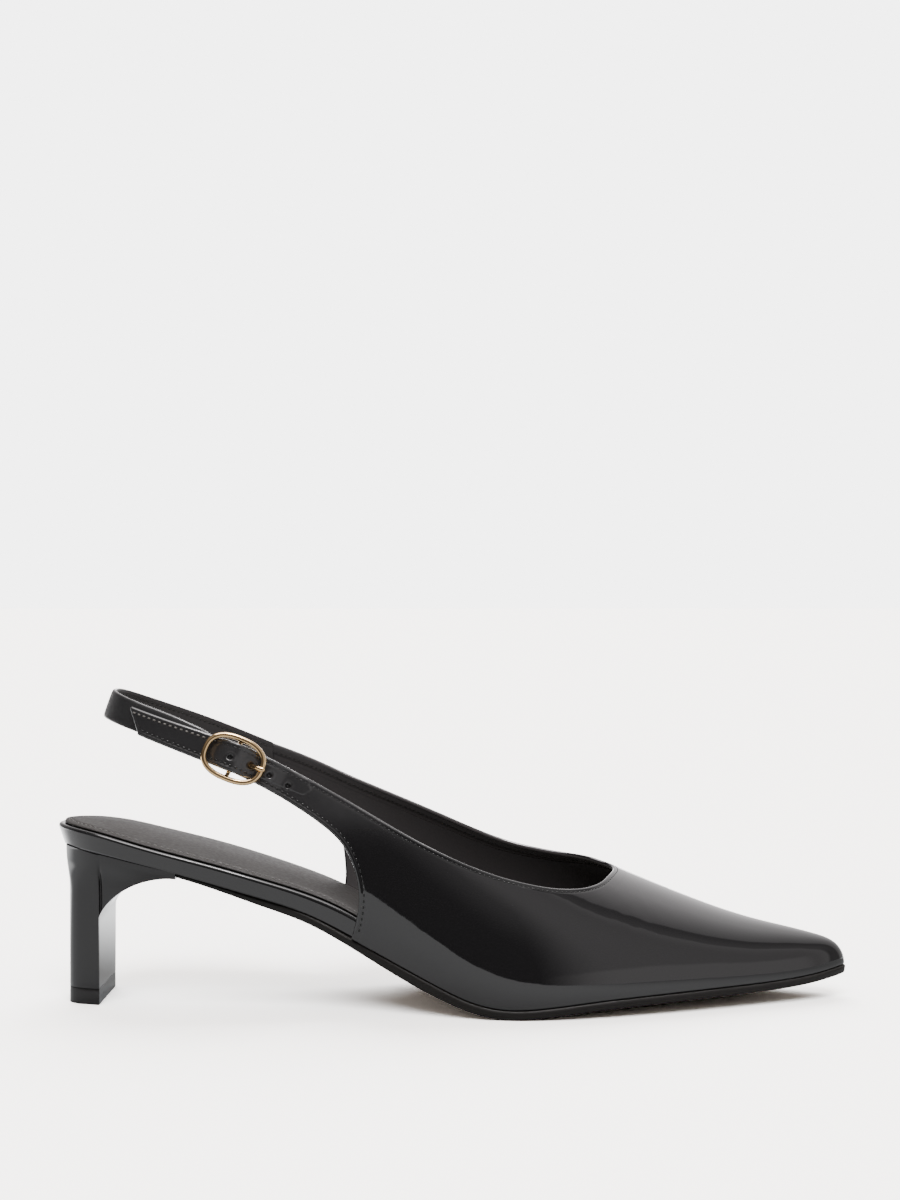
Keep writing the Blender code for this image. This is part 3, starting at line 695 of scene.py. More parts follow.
def ramp(tree, value, low, high, first, last, kind="SMOOTHSTEP"):
    """Value that goes from first to last between two limits."""
    return node(tree, "ShaderNodeMapRange", {"Value": value}, interpolation_type=kind,
                in_From_Min=low, in_From_Max=high, in_To_Min=first, in_To_Max=last).outputs[0]


def ranged(tree, value, low, high):
    """Noise, which lies mostly from 0.3 to 0.7, spread between two numbers."""
    return ramp(tree, value, 0.3, 0.7, low, high, "LINEAR")


def roughen(tree, shader, value, low, high):
    """Roughness that follows a noise between two numbers."""
    tree.links.new(ranged(tree, value, low, high), shader.inputs["Roughness"])


def two_tone(tree, shader, value, first, second):
    """Base colour that follows a value from one colour to another."""
    mixed = node(tree, "ShaderNodeMix", {"Factor": value}, data_type="RGBA")
    mixed.inputs["A"].default_value = linear(first)
    mixed.inputs["B"].default_value = linear(second)
    tree.links.new(mixed.outputs["Result"], shader.inputs["Base Color"])


def patent_leather():
    """Patent leather: a poured lacquer film on leather, mirror bright and a little uneven.

    Up on the straps, where the leather flexes, fine crinkles dull the film, and a lighter base colour there
    is painted sheen.
    """
    made, tree, shader, place = finish("patent leather", "#0c0b0c", 0.12,
                                       Coat_Weight=1.0, Coat_Roughness=0.015)
    height = node(tree, "ShaderNodeSeparateXYZ", {"Vector": place}).outputs["Z"]
    flex_and_painted_sheen = ramp(tree, height, 0.050, 0.066, 0.0, 1.0)
    # Above about 5 cm the base colour turns lighter: painted sheen on the straps. The roughness and crinkle
    # bump there are real.
    two_tone(tree, shader, flex_and_painted_sheen, "#0c0b0c", "#171617")
    even = ranged(tree, noise(tree, place, 9.0), 0.03, 0.06)
    tree.links.new(multiply_add(tree, flex_and_painted_sheen, 0.42, even), shader.inputs["Roughness"])
    crinkle = combine(tree, "MULTIPLY", flex_and_painted_sheen, noise(tree, place, 1.1, 2.0))
    uneven(tree, shader, multiply_add(tree, crinkle, 2.5, noise(tree, place, 2.2, 1.0)), 0.01)
    return made


def lacquered_heel():
    """Heel cover: black lacquer on a moulded core, glossy with less depth than patent."""
    made, tree, shader, place = finish("black heel lacquer", "#0c0b0c", 0.08, Coat_Weight=0.5)
    film = noise(tree, place, 5.0, 2.0)
    roughen(tree, shader, film, 0.05, 0.12)
    uneven(tree, shader, film, 0.01)
    return made


def satin_lining():
    """Satin lining: a tight synthetic twill, soft black with a faint sheen."""
    made, tree, shader, place = finish("satin lining", "#2f2c2c", 0.5, IOR=1.4,
                                       Sheen_Weight=0.12, Sheen_Roughness=0.4)
    threads = node(tree, "ShaderNodeTexWave", {"Vector": place}, bands_direction="DIAGONAL",
                   in_Scale=1 / (3.2 * 0.45 * MM), in_Distortion=1.2)
    uneven(tree, shader, threads.outputs["Fac"], 0.02, 0.5)
    return made


def sock_leather():
    """Coated sock: a satin grey-brown film with a fine pebble grain."""
    made, tree, shader, place = finish("coated sock leather", "#2f2b29", 0.46, IOR=1.38)
    shade = noise(tree, place, 14.0, 4.0)
    two_tone(tree, shader, shade, "#232120", "#2d2a28")
    roughen(tree, shader, noise(tree, place, 1.2), 0.5, 0.62)
    pebble = node(tree, "ShaderNodeTexVoronoi", {"Vector": place}, in_Scale=1 / (0.8 * MM))
    uneven(tree, shader, pebble.outputs["Distance"], 0.05, 0.5)
    return made


def sole_rubber():
    """Sole: dark resin rubber, trimmed so that fine marks run along its edge."""
    made, tree, shader, place = finish("trimmed sole rubber", "#151412", 0.42, IOR=1.38)
    marks = noise(tree, place, 0.5, 3.0, (0.06, 0.12, 1.0))
    two_tone(tree, shader, marks, "#100f0e", "#191715")
    roughen(tree, shader, marks, 0.32, 0.55)
    uneven(tree, shader, noise(tree, place, 0.45, 2.0), 0.06, 0.6)
    return made


def tip_rubber():
    """Heel tip: hard moulded rubber, polished with the heel's side."""
    made, tree, shader, place = finish("heel tip rubber", "#141313", 0.14, IOR=1.5)
    grain = noise(tree, place, 0.8, 3.0)
    roughen(tree, shader, grain, 0.1, 0.24)
    uneven(tree, shader, grain, 0.01, 0.5)
    return made


def gold_plate():
    """Pale gold plate: polished zinc casting with a warm flash of gold."""
    made, tree, shader, place = finish("pale gold plate", "#ffd9a2", 0.1, Metallic=1.0)
    polish = noise(tree, place, 1.5, 3.0)
    roughen(tree, shader, polish, 0.07, 0.14)
    uneven(tree, shader, polish, 0.006, 0.6)
    return made


def sewing_thread(name, colour):
    """Sewing thread: twisted polyester, with a soft shine on each ply."""
    made, tree, shader, place = finish(name, colour, 0.38, IOR=1.5)
    plies = noise(tree, place, 0.3, 1.0)
    roughen(tree, shader, plies, 0.28, 0.5)
    uneven(tree, shader, plies, 0.03, 0.6)
    return made


# Meshes
def sheet(grid, kind=0):
    """Quads of a grid of points as a patch: points, faces and finish numbers."""
    rows, columns = grid.shape[:2]
    index = np.arange(rows * columns).reshape(rows, columns)
    quads = np.stack([index[:-1, :-1], index[1:, :-1], index[1:, 1:], index[:-1, 1:]], -1)
    kinds = np.broadcast_to(kind, (rows - 1, columns - 1))
    return grid.reshape(-1, 3), quads.reshape(-1, 4), kinds.reshape(-1)


def closed(rings):
    """Rings with their first point repeated at the end."""
    return np.concatenate([rings, rings[:, :1]], 1)


def lid(ring):
    """Grid that closes a ring by running to its middle."""
    return closed(np.stack([ring, np.broadcast_to(ring.mean(0), ring.shape)]))


def capped(rings, kind=0):
    """Tube through rings, with a lid at each end."""
    return [sheet(closed(rings), kind), sheet(lid(rings[0])), sheet(lid(rings[-1]))]


def add_piece(name, patches, finishes, body="root"):
    """One smooth mesh from patches, with meeting points joined and normals outward."""
    start = np.cumsum([0] + [len(patch[0]) for patch in patches])
    points = np.concatenate([patch[0] for patch in patches])
    faces = np.concatenate([patch[1] + first for patch, first in zip(patches, start)])
    kinds = np.concatenate([patch[2] for patch in patches])
    points = (points + (0, AXIS_Y, 0)) * MM
    mesh = bpy.data.meshes.new(name)
    mesh.from_pydata(points.tolist(), [], faces.tolist())
    mesh.polygons.foreach_set("material_index", kinds.astype(np.int32))
    work = bmesh.new()
    work.from_mesh(mesh)
    bmesh.ops.remove_doubles(work, verts=work.verts, dist=0.004 * MM)
    bmesh.ops.dissolve_degenerate(work, dist=0.001 * MM, edges=work.edges)
    bmesh.ops.recalc_face_normals(work, faces=work.faces)
    work.to_mesh(mesh)
    work.free()
    mesh.polygons.foreach_set("use_smooth", np.ones(len(mesh.polygons), bool))
    for made in finishes:
        mesh.materials.append(made)
    thing = bpy.data.objects.new(name, mesh)
    bpy.context.scene.collection.objects.link(thing)
    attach(thing, body)
    return thing


def stand_for(thing, node_name):
    """Let a piece stand for a solid, whose own part is hidden."""
    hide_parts(node_name)
    return thing


def tube(path, radius, sides, start, loop=False):
    """Round wire along a path, its ring carried on from a starting direction."""
    if loop:
        tangent = np.roll(path, -1, 0) - np.roll(path, 1, 0)
    else:
        tangent = np.gradient(path, axis=0)
    tangent = unit(tangent)
    angle = np.arange(sides) * 2 * np.pi / sides
    radius = np.broadcast_to(radius, len(path))
    normal = start
    rings = []
    for centre, along, size in zip(path, tangent, radius):
        normal = unit(normal - along * normal.dot(along))
        across = np.cross(along, normal)
        rings.append(centre + size * (np.cos(angle)[:, None] * normal + np.sin(angle)[:, None] * across))
    rings = np.array(rings)
    if loop:
        return [sheet(closed(np.concatenate([rings, rings[:1]])))]
    return capped(rings)


def stitches(path, normal, pitch=STITCH_PITCH, length=STITCH_LENGTH, radius=STITCH_RADIUS):
    """Row of sewn stitches on a path, each a short bead sunk at both ends.

    A bead is a grid round and along it; its radius follows a half oval and
    its middle line dips into the surface towards the ends.
    """
    knots = arc(path)
    count = max(1, int(knots[-1] / pitch))
    centre = (np.arange(count) + 0.5) * knots[-1] / count
    run = np.linspace(-1, 1, 7)
    angle = np.linspace(0, 2 * np.pi, 9)
    swell = np.sqrt(np.clip(1 - run ** 4, 0, 1))
    place = centre[:, None] + run * length / 2
    spots = np.stack([np.interp(place, knots, path[:, axis]) for axis in range(3)], -1)
    up = unit(np.stack([np.interp(place, knots, normal[:, axis]) for axis in range(3)], -1))
    along = unit(spots[:, -1:] - spots[:, :1])
    across = np.cross(along, up)
    spots = spots + up * (0.5 * radius * (1 - 1.6 * run ** 2))[None, :, None]
    ring = np.cos(angle)[:, None] * up[:, :, None] * 0.8 + np.sin(angle)[:, None] * across[:, :, None]
    beads = spots[:, :, None] + radius * swell[None, :, None, None] * ring
    return [sheet(bead) for bead in beads]


# Upper
UPPER_COLUMNS = {-1: (280, 110, 90), 1: (110, 110, 90)}
MAIN_ROWS = 40
STRIP = np.array([4.5, 4.0, 3.5, 3.15, 3.0, 2.7, INNER_ROW, 2.1, 1.85, TOP_ROW, 1.25, 1.0, 0.75])
RIM_STEPS = 8
END_STEPS = 6
FADE_COLUMNS = 8
LEAN_COLUMNS = 14
SLANT_COLUMNS = 40
TAIL_ROW = 26
TOE_SPACING_X = 72.0
THROAT_SPACING_X = 5.0


def half_grids(side):
    """Places of one half of the upper: the main grid and the strip along the topline.

    The main grid runs in columns from the lower edge up to the strip or, past
    the throat, up to the crest. The strip's rows keep fixed distances from the
    topline.
    """
    free, throat, toe = UPPER_COLUMNS[side]
    share_of = np.linspace(0, 1, free + 1)
    if side < 0:
        share_of = np.interp(np.arange(free + 1), (0, 0.72 * free, free), (0, 0.56, 1))
    knots, edge_x, edge_share = edge_curve(side)
    start = WALL / 2 if side < 0 else 0.0
    place = start + share_of * (knots[-1] - start)
    low_x = spline(knots, edge_x, place)
    low_share = spline(knots, edge_share, place)
    low_share[-1] = 0.0
    step_x, step_share, low_in = off_edge(low_x, low_share, side, False)
    fade = smooth((free - np.arange(free + 1)) / FADE_COLUMNS)
    edge = (low_x, low_share)
    low_x = low_x + step_x * fade * WALL / 2
    low_share = np.maximum(low_share + step_share * fade * WALL / 2, 0)
    middle_turn = np.linspace(turn(edge_x[-1]), turn(TOE_SPACING_X), throat + 1)[1:]
    toe_turn = np.linspace(turn(TOE_SPACING_X), np.pi, toe + 1)[1:]
    low_x = np.concatenate([low_x, x_at(middle_turn), x_at(toe_turn)])
    low_share = np.concatenate([low_share, np.zeros(throat + toe)])
    knots, top_x, top_share, centre = topline_curve()
    end = knots[0] + start if side < 0 else knots[-1]
    split = np.interp(THROAT_SPACING_X, top_x[:centre], knots[:centre])
    if side > 0:
        split = np.interp(-THROAT_SPACING_X, -top_x[centre:], knots[centre:])
    rear_place = end + (split - end) * share_of
    throat_place = np.linspace(split, knots[centre], throat + 1)[1:]
    place = np.concatenate([rear_place, throat_place])
    line_x = spline(knots, top_x, place)
    line_share = spline(knots, top_share, place)
    line_share = line_share if side < 0 else 2 - line_share
    line_share = np.clip(line_share, 0, 1)
    line_share[-1] = 1.0
    step_x, step_share, top_in = off_edge(line_x, line_share, side, True)
    along, _ = slopes(line_x[-1:], line_share[-1:], side)
    lean = smooth(np.arange(len(line_x))[::-1] / LEAN_COLUMNS)
    step_x = step_x * lean + (1 - lean) / np.linalg.norm(along)
    step_share = step_share * lean
    if side < 0:
        fall = shell(low_x[:1], low_share[:1], side) - shell(line_x[:1], line_share[:1], side)
        drop = (fall * top_in[:1]).sum()
        slant = smooth(1 - np.arange(len(line_x)) / SLANT_COLUMNS)
        step_x = step_x * (1 - slant) + slant * (low_x[0] - line_x[0]) / drop
        step_share = step_share * (1 - slant) + slant * (low_share[0] - line_share[0]) / drop
    strip_x = line_x[:, None] + step_x[:, None] * STRIP
    strip_share = np.clip(line_share[:, None] + step_share[:, None] * STRIP, 0, 1)
    crest = np.linspace(0, 1, toe + 1)[1:] ** 1.15
    first_turn = turn(strip_x[-1, 0])
    crest_x = x_at(first_turn + (np.pi - first_turn) * crest)
    high_x = np.concatenate([strip_x[:, 0], crest_x])
    high_share = np.concatenate([strip_share[:, 0], np.ones(toe)])
    span = np.linalg.norm(shell(high_x, high_share, side) - shell(low_x, low_share, side), axis=-1)
    crowd = np.clip(1 - 8 / np.maximum(span, 1e-6), 0, 0.7)[:, None]
    blend = np.linspace(0, 1, MAIN_ROWS + 1)
    blend = (1 - crowd) * blend + crowd * blend ** 2
    main_x = low_x[:, None] * (1 - blend) + high_x[:, None] * blend
    main_share = low_share[:, None] * (1 - blend) + high_share[:, None] * blend
    low_rim = np.concatenate([fade, np.zeros(throat + toe)])
    low_in = np.concatenate([low_in, np.repeat(low_in[-1:], throat + toe, 0)])
    return (main_x, main_share), (strip_x, strip_share), edge, low_in, low_rim, top_in


def upper_relief(points, from_edge, side):
    """How far the patent stands above the plain wall.

    A rolled edge and the sunk sewing row follow the distance from the sewn
    edges. Holes, the stiffener's pointed end and slow ripples of the film are
    added in the buckle strap's own directions.
    """
    relief = ROLL_HEIGHT * near(from_edge, ROLL_PLACE, ROLL_WIDTH)
    relief -= ROW_SINK * near(from_edge, TOP_ROW, ROW_WIDTH)
    relief += ripples(points, *FILM_SLOW) + ripples(points, *FILM_FINE)
    if side > 0:
        return relief
    vamp = near(points[..., 0], *VAMP_FLEX_X) * near(points[..., 2], *VAMP_FLEX_Z)
    relief += vamp * ripples(points, *VAMP_FLEX)
    along = along_strap(points)
    across = (points - BUCKLE[3]).dot(BUCKLE[1])
    for hole_along, hole_across in HOLES[1:]:
        away = np.hypot(along - hole_along, across - hole_across)
        relief += RIM_HEIGHT * near(away, RIM_RADIUS, RIM_WIDTH) - DISH_DEPTH * bump(away / DISH_RADIUS)
        relief -= HOLE_DEPTH * np.exp(-(away / HOLE_RADIUS) ** 6)
    aside = np.abs(across - STIFFENER_ACROSS)
    pointed = smooth((STIFFENER_END - along - 0.8 * aside) / STIFFENER_EDGE + 0.5)
    stiffener = pointed * smooth((STIFFENER_HALF - aside) / STIFFENER_EDGE)
    relief += STIFFENER_HEIGHT * stiffener * smooth((along - 6.0) / 6.0)
    root = near(along, *ROOT_FLEX_PLACE) * smooth((from_edge - 2.5) / 2.0)
    relief += root * ripples(points, *ROOT_FLEX)
    return relief + smooth((24.0 - along) / 8.0) * ripples(points, *STRAP_FLEX)


def rim(over, under, off, amount):
    """Half round from an outer edge over to the inner edge, bulging by an amount."""
    angle = np.linspace(0, np.pi, RIM_STEPS + 1)[None, :, None]
    middle = (over + under) / 2
    half = np.linalg.norm(over - under, axis=-1)[:, None, None] / 2
    swing = np.cos(angle) * (over - middle)[:, None]
    return middle[:, None] + swing - np.sin(angle) * half * amount[:, None, None] * off[:, None]


def quarter_row(edge, side):
    """Path of the sewing along a quarter's free edge, and its normals."""
    x, share = edge
    step_x, step_share, _ = off_edge(x, share, side, False)
    keep = slice(UPPER_COLUMNS[side][0] - 3)
    x = (x + step_x * EDGE_ROW)[keep]
    share = np.clip(share + step_share * EDGE_ROW, 0, 1)[keep]
    points = shell(x, share, side)
    normal = outward(x, share, side)
    if side < 0:
        points = points + normal * strap_rise(along_strap(points))[:, None]
    return points - 0.1 * normal, normal


def half_upper(side):
    """Patches of one half of the upper, and the paths of its sewing rows."""
    main, strip, edge, low_in, low_rim, top_in = half_grids(side)
    columns = len(strip[0])
    free = UPPER_COLUMNS[side][0]
    low_path = shell(*edge, side)
    end_x = np.append(main[0][0], strip[0][0, 1:])
    end_share = np.append(main[1][0], strip[1][0, 1:])
    end_path = refine(shell(end_x, end_share, side), 40)
    layers = []
    for x, share in (main, strip):
        in_strip = x is strip[0]
        points = shell(x, share, side)
        normal = outward(x, share, side)
        from_edge = np.full(x.shape, FAR_FROM_EDGE)
        from_edge[:free + 20] = distance_to(points[:free + 20], low_path)
        if side < 0:
            from_edge = np.minimum(from_edge, distance_to(points, end_path) + WALL / 2)
        if in_strip:
            from_edge = np.minimum(from_edge, STRIP)
        base = points
        if side < 0:
            base = points + normal * strap_rise(along_strap(points))[..., None]
        wall = WALL * np.clip((HALF - x) / TOE_WALL_REACH, 0, 1)
        wall -= TURNED_EDGE * smooth((from_edge - FOLD_DEPTH) / TURNED_EDGE_WIDTH) * in_strip
        relief = upper_relief(points, from_edge, side) * np.clip((HALF - x) / TOE_RELIEF_REACH, 0, 1)
        layers.append((base + normal * relief[..., None], base - normal * wall[..., None], normal))
    (outer, inner, _), (strip_outer, strip_inner, strip_normal) = layers
    top_rim = rim(strip_outer[:, -1], strip_inner[:, -1], top_in, np.ones(columns))
    low_edge = rim(outer[:, 0], inner[:, 0], low_in, low_rim)
    lining = np.broadcast_to((STRIP[1:] >= LINING_FROM).astype(int), (columns - 1, len(STRIP) - 1))
    patches = [sheet(outer), sheet(strip_outer), sheet(inner, 1), sheet(strip_inner, lining)]
    turned = (np.arange(RIM_STEPS) > TURNED_SHARE * RIM_STEPS).astype(int)
    patches += [sheet(top_rim, np.broadcast_to(turned, (columns - 1, RIM_STEPS))), sheet(low_edge)]
    over = np.concatenate([outer[0], strip_outer[0, 1:]])
    under = np.concatenate([strip_inner[0, ::-1], inner[0, -2::-1]])
    ring = np.concatenate([over, top_rim[0, 1:-1], under, low_edge[0, -2:0:-1]])
    middle = (over + np.concatenate([inner[0], strip_inner[0, 1:]])) / 2
    top_middle = np.repeat(middle[-1:], RIM_STEPS - 1, 0)
    low_middle = np.repeat(middle[:1], RIM_STEPS - 1, 0)
    middle = np.concatenate([middle, top_middle, middle[::-1], low_middle])
    tail_x, tail_share = main[0][:1, TAIL_ROW], main[1][:1, TAIL_ROW]
    ahead = unit(shell(tail_x - 0.5, tail_share, side) - shell(tail_x, tail_share, side))[0]
    swing = np.linspace(0, np.pi / 2, END_STEPS)[:, None, None]
    bulge = WALL / 2 if side < 0 else 0.0
    end = middle + np.cos(swing) * (ring - middle) + np.sin(swing) * bulge * ahead
    patches.append(sheet(closed(end)))
    row = int(np.flatnonzero(STRIP == TOP_ROW)[0])
    inner_row = int(np.flatnonzero(STRIP == INNER_ROW)[0])
    top_path = (strip_outer[:, row], strip_normal[:, row])
    inner_path = (strip_inner[:, inner_row], -strip_normal[:, inner_row])
    return patches, top_path, quarter_row(edge, side), inner_path


def build_upper(patent, lining, thread, painted_highlight_thread):
    """Vamp, quarters and buckle strap as one wall, and their sewing.

    The tail's own row has a lighter thread: a painted highlight for the glints where its stitches pucker
    the patent.
    """
    patches = []
    beads = []
    tail_beads = []
    for side in (-1, 1):
        made, top_path, low_path, inner_path = half_upper(side)
        patches += made
        tail = top_path[0][:, 0] < TAIL_ROW_X
        beads += stitches(top_path[0][~tail], top_path[1][~tail]) + stitches(*inner_path)
        if tail.any():
            tail_beads += stitches(top_path[0][tail], top_path[1][tail], **TAIL_STITCH)
        beads += stitches(*low_path, **QUARTER_STITCH)
    stand_for(add_piece("upper_patent", patches, [patent, lining]), "upper")
    add_piece("upper_stitches", beads, [thread])
    add_piece("tail_stitches", tail_beads, [painted_highlight_thread])


# Sling strap
def sling_sections():
    """Middle points, half widths and depths of the sling strap from the inner
    quarter round the heel and round the bar."""
    share = np.linspace(0, 1, 23)
    swing = -np.concatenate([-(1 - share[:-1]), share]) * np.pi / 2
    side = np.where(swing > 0, 1, -1)
    power = 2 / LOOP_POWER
    x = LOOP_CENTRE_X - (LOOP_CENTRE_X - LOOP_BACK_X) * np.cos(swing) ** power
    y = side * LOOP_HALF * np.abs(np.sin(swing)) ** power
    z = np.where(side > 0, sling_middle(x, 1), sling_middle(x, -1))
    keep = (side > 0) | (x < BUCKLE_X - FOLD_REACH)
    middle = np.stack([x, y, z], -1)[keep]
    tangent = unit(np.gradient(middle[:, :2], axis=0))
    inward = np.stack([-tangent[:, 1], tangent[:, 0], np.zeros(len(middle))], -1)
    lean = LOOP_LEAN + (LOOP_BACK_LEAN - LOOP_LEAN) * np.clip(inward[:, 0], 0, 1) ** 2
    ruling = inward * lean[:, None] + (0, 0, 1)
    run = np.gradient(middle, axis=0)
    steep = run[:, 2] / np.linalg.norm(run, axis=1)
    ruling *= (STRAP_WIDTH / 2 / np.sqrt(1 - steep ** 2))[:, None]
    across = BUCKLE[1]
    fold = refine(buckle_points(SLING_FOLD, "along", "out"), FOLD_PIECES)
    fold_normal = unit(np.cross(np.gradient(fold, axis=0), across))
    fold_normal *= np.sign(fold_normal[0].dot(inward[-1]))
    fold_ruling = np.tile(across * (STRAP_WIDTH / 2 - GAP), (len(fold), 1))
    centre = np.concatenate([middle + inward * (GAP + WALL / 2), fold])
    ruling = np.concatenate([ruling, fold_ruling])
    depth = np.concatenate([inward * WALL / 2, fold_normal * FOLD_WALL / 2])
    return centre, ruling, depth


def build_sling(patent, lining, thread):
    """Strap round the heel: a flat oval carried along its path, sewn along both edges."""
    centre, ruling, depth = sling_sections()
    knots = arc(centre)
    fold = knots[-FOLD_PIECES - 1]
    place = np.linspace(0, fold, STRAP_STATIONS)[:-1]
    place = np.concatenate([place, np.linspace(fold, knots[-1], FOLD_STATIONS)])
    centre, ruling, depth = [
        np.stack([spline(knots, part[:, axis], place) for axis in range(3)], -1)
        for part in (centre, ruling, depth)
    ]
    angle = (np.arange(STRAP_SIDES) + 0.5) * 2 * np.pi / STRAP_SIDES
    wide = rounded(np.cos(angle), STRAP_SQUARENESS)
    thick = rounded(np.sin(angle), STRAP_SQUARENESS)
    reach = STRAP_WIDTH / 2
    from_edge = reach * (1 - np.abs(wide))
    sunk = 1 - STRAP_ROW_SINK * near(from_edge, EDGE_ROW, ROW_WIDTH) * (thick > 0)
    rings = centre[:, None] + wide[:, None] * ruling[:, None] + (thick * sunk)[:, None] * depth[:, None]
    inside = (thick > 0) & (np.abs(wide) < STRAP_LINING_SHARE)
    kinds = np.broadcast_to((inside & np.roll(inside, -1)).astype(int), (len(rings) - 1, STRAP_SIDES))
    strap = add_piece("sling_strap_patent", capped(rings, kinds), [patent, lining])
    stand_for(strap, "sling_strap")
    beads = []
    row = 1 - EDGE_ROW / reach
    for edge in (-row, row):
        path = centre + edge * ruling + STRAP_THREAD_SHARE * depth
        beads += stitches(path[STRAP_SEWN], unit(depth)[STRAP_SEWN])
    add_piece("sling_strap_stitches", beads, [thread])


# Footbed, sock and sole
def edge_pairs(angles, inset):
    """Points on both sides of the last's edge, set in square to it."""
    pairs = []
    for side in (-1, 1):
        x = x_at(angles)
        ahead = x_at(np.clip(angles + 1e-4, 0, np.pi))
        behind = x_at(np.clip(angles - 1e-4, 0, np.pi))
        run = ahead - behind
        rise = outline(ahead, side) - outline(behind, side)
        inward = np.stack([rise, -run], -1) / np.hypot(run, rise)[:, None] * side
        ends = np.isclose(np.sin(angles), 0)
        inward[ends] = np.stack([np.cos(angles[ends]), np.zeros(ends.sum())], -1)
        pairs.append(np.stack([x, outline(x, side)], -1) + inward * np.asarray(inset)[:, None])
    return pairs


def across_board(left, right, shares):
    """Plan points on lines across the shoe, a row of shares per station."""
    shares = np.asarray(shares)[None, :, None]
    return left[:, None] * (1 - shares) + right[:, None] * shares


def lifted(plan, height):
    """Plan points with a height each."""
    return np.concatenate([plan, np.broadcast_to(height, plan.shape[:-1])[..., None]], -1)


def build_footbed(patent):
    """Covered board: flared side, round top edge and flat top, ring after ring."""
    angles = np.linspace(0, turn(FOOTBED_FRONT_X), 220)
    inset = profile(x_at(angles), "band_inset")
    flare = band_flare(angles, inset)
    rise = np.linspace(0, 1, 12)
    bend = np.linspace(0, np.pi / 2, 10)[1:]
    parts = np.concatenate([BAND_SIDE_SHARE * rise, BAND_SIDE_SHARE + (1 - BAND_SIDE_SHARE) * np.sin(bend)])
    extra = [flare * (1 - step) for step in rise]
    extra += [np.full(len(angles), BAND_ROUND * (1 - np.cos(step))) for step in bend]
    pairs = [edge_pairs(angles, inset + more) for more in extra]
    share = np.linspace(0, 1, 9)
    strips = [(across_board(*pairs[0], share), 0.0)]
    strips += [(pair[1][:, None], part) for pair, part in zip(pairs[1:], parts[1:])]
    strips += [(across_board(*pairs[-1], share[-2::-1]), 1.0)]
    strips += [(pair[0][:, None], part) for pair, part in zip(pairs[-2:0:-1], parts[-2:0:-1])]
    rings = []
    for plan, part in strips:
        base = profile(plan[..., 0], "base") + GAP
        rings.append(lifted(plan, base + (profile(plan[..., 0], "band") - GAP) * part))
    rings = np.concatenate(rings, 1)
    stand_for(add_piece("footbed_cover", capped(rings), [patent]), "footbed")


def board_top(x):
    """Height on which the sock lies."""
    return profile(x, "base") + profile(x, "band") + GAP


def sock_top(plan, from_edge):
    """Height of the sock: round at its edge, sunk at the sewing and gently crowned.

    The border droops more on the near side, and the crown is lower at the heel.
    """
    past_row = from_edge - SOCK_ROW
    droop = SOCK_DROOP + SOCK_NEAR_DROOP * smooth((4.0 - plan[..., 1]) / 12.0)
    wall = 1 - (1 - np.clip(from_edge / 0.3, 0, 1)) ** 2
    slope = np.sin(np.pi / 2 * np.clip(from_edge / SOCK_ROW, 0, 1))
    border = SOCK_BORDER * ((1 - droop) * wall + droop * slope)
    full = SOCK_HEEL_CROWN + (1 - SOCK_HEEL_CROWN) * smooth((plan[..., 0] + 124.0) / 18.0)
    crown = SOCK_CROWN * full * (1 - (1 - np.clip(past_row / SOCK_CROWN_REACH, 0, 1)) ** 2)
    sewing = 0.2 * smooth(past_row / 1.5) - SOCK_ROW_SINK * bump(past_row / 0.5)
    return board_top(plan[..., 0]) + border + crown + sewing


def build_sock(leather, painted_shade_edge, thread):
    """Sock: a border that follows its edge, a crowned middle and a sewn row; its thin cut edge takes the
    dark sole rubber as painted shade for the gap at the band.
    """
    angles = np.linspace(0, turn(SOCK_FRONT_X), 240)
    inset = profile(x_at(angles), "band_inset") + SOCK_INSET
    border = np.array([0, 0.1, 0.25, 0.45, 0.7, 1.0, 1.3, 1.55, 1.75,
                       2.0, 2.25, 2.5, 2.8, 3.2, 3.7, 4.3, 5.0])
    pairs = [edge_pairs(angles, inset + step) for step in border]
    borders = [np.stack([pair[side] for pair in pairs], 1) for side in (0, 1)]
    # The first border step, the sock's cut edge, gets the second finish: painted shade for the dark gap
    # between sock and band.
    cut = np.broadcast_to((border[1:] < 0.2).astype(int), (len(angles) - 1, len(border) - 1))
    patches = [sheet(lifted(plan, sock_top(plan, border)), cut) for plan in borders]
    left, right = pairs[-1]
    share = np.linspace(0, 1, 25)
    middle = across_board(left, right, share)
    width = np.linalg.norm(right - left, axis=-1)[:, None]
    from_edge = border[-1] + np.minimum(share, 1 - share) * width
    patches.append(sheet(lifted(middle, sock_top(middle, from_edge))))
    low = across_board(*pairs[0], share)
    low = lifted(low, board_top(low[..., 0]))
    patches.append(sheet(low))
    front = np.concatenate([borders[0][-1], middle[-1, 1:-1], borders[1][-1, ::-1]])
    distance = np.concatenate([border, from_edge[-1, 1:-1], border[::-1]])
    front = lifted(front, sock_top(front, distance))
    patches.append(sheet(lid(np.concatenate([front, low[-1, -2:0:-1]]))))
    stand_for(add_piece("sock_lining", patches, [leather, painted_shade_edge]), "insole")
    beads = []
    for plan in edge_pairs(angles[2:], (inset + SOCK_ROW)[2:]):
        path = lifted(plan, sock_top(plan, SOCK_ROW))
        beads += stitches(path, np.tile((0.0, 0.0, 1.0), (len(path), 1)), **SOCK_STITCH)
    add_piece("sock_stitches", beads, [thread])


def sole_depth(x):
    """Thickness of the sole's edge, thinned to the heel and fuller at the waist."""
    share = SOLE_REAR_SHARE + (1 - SOLE_REAR_SHARE) * smooth((x - SOLE_REAR_X) / SOLE_TAPER)
    return SOLE_THICKNESS * share + SOLE_WAIST * near(x, SOLE_WAIST_X, SOLE_WAIST_REACH)


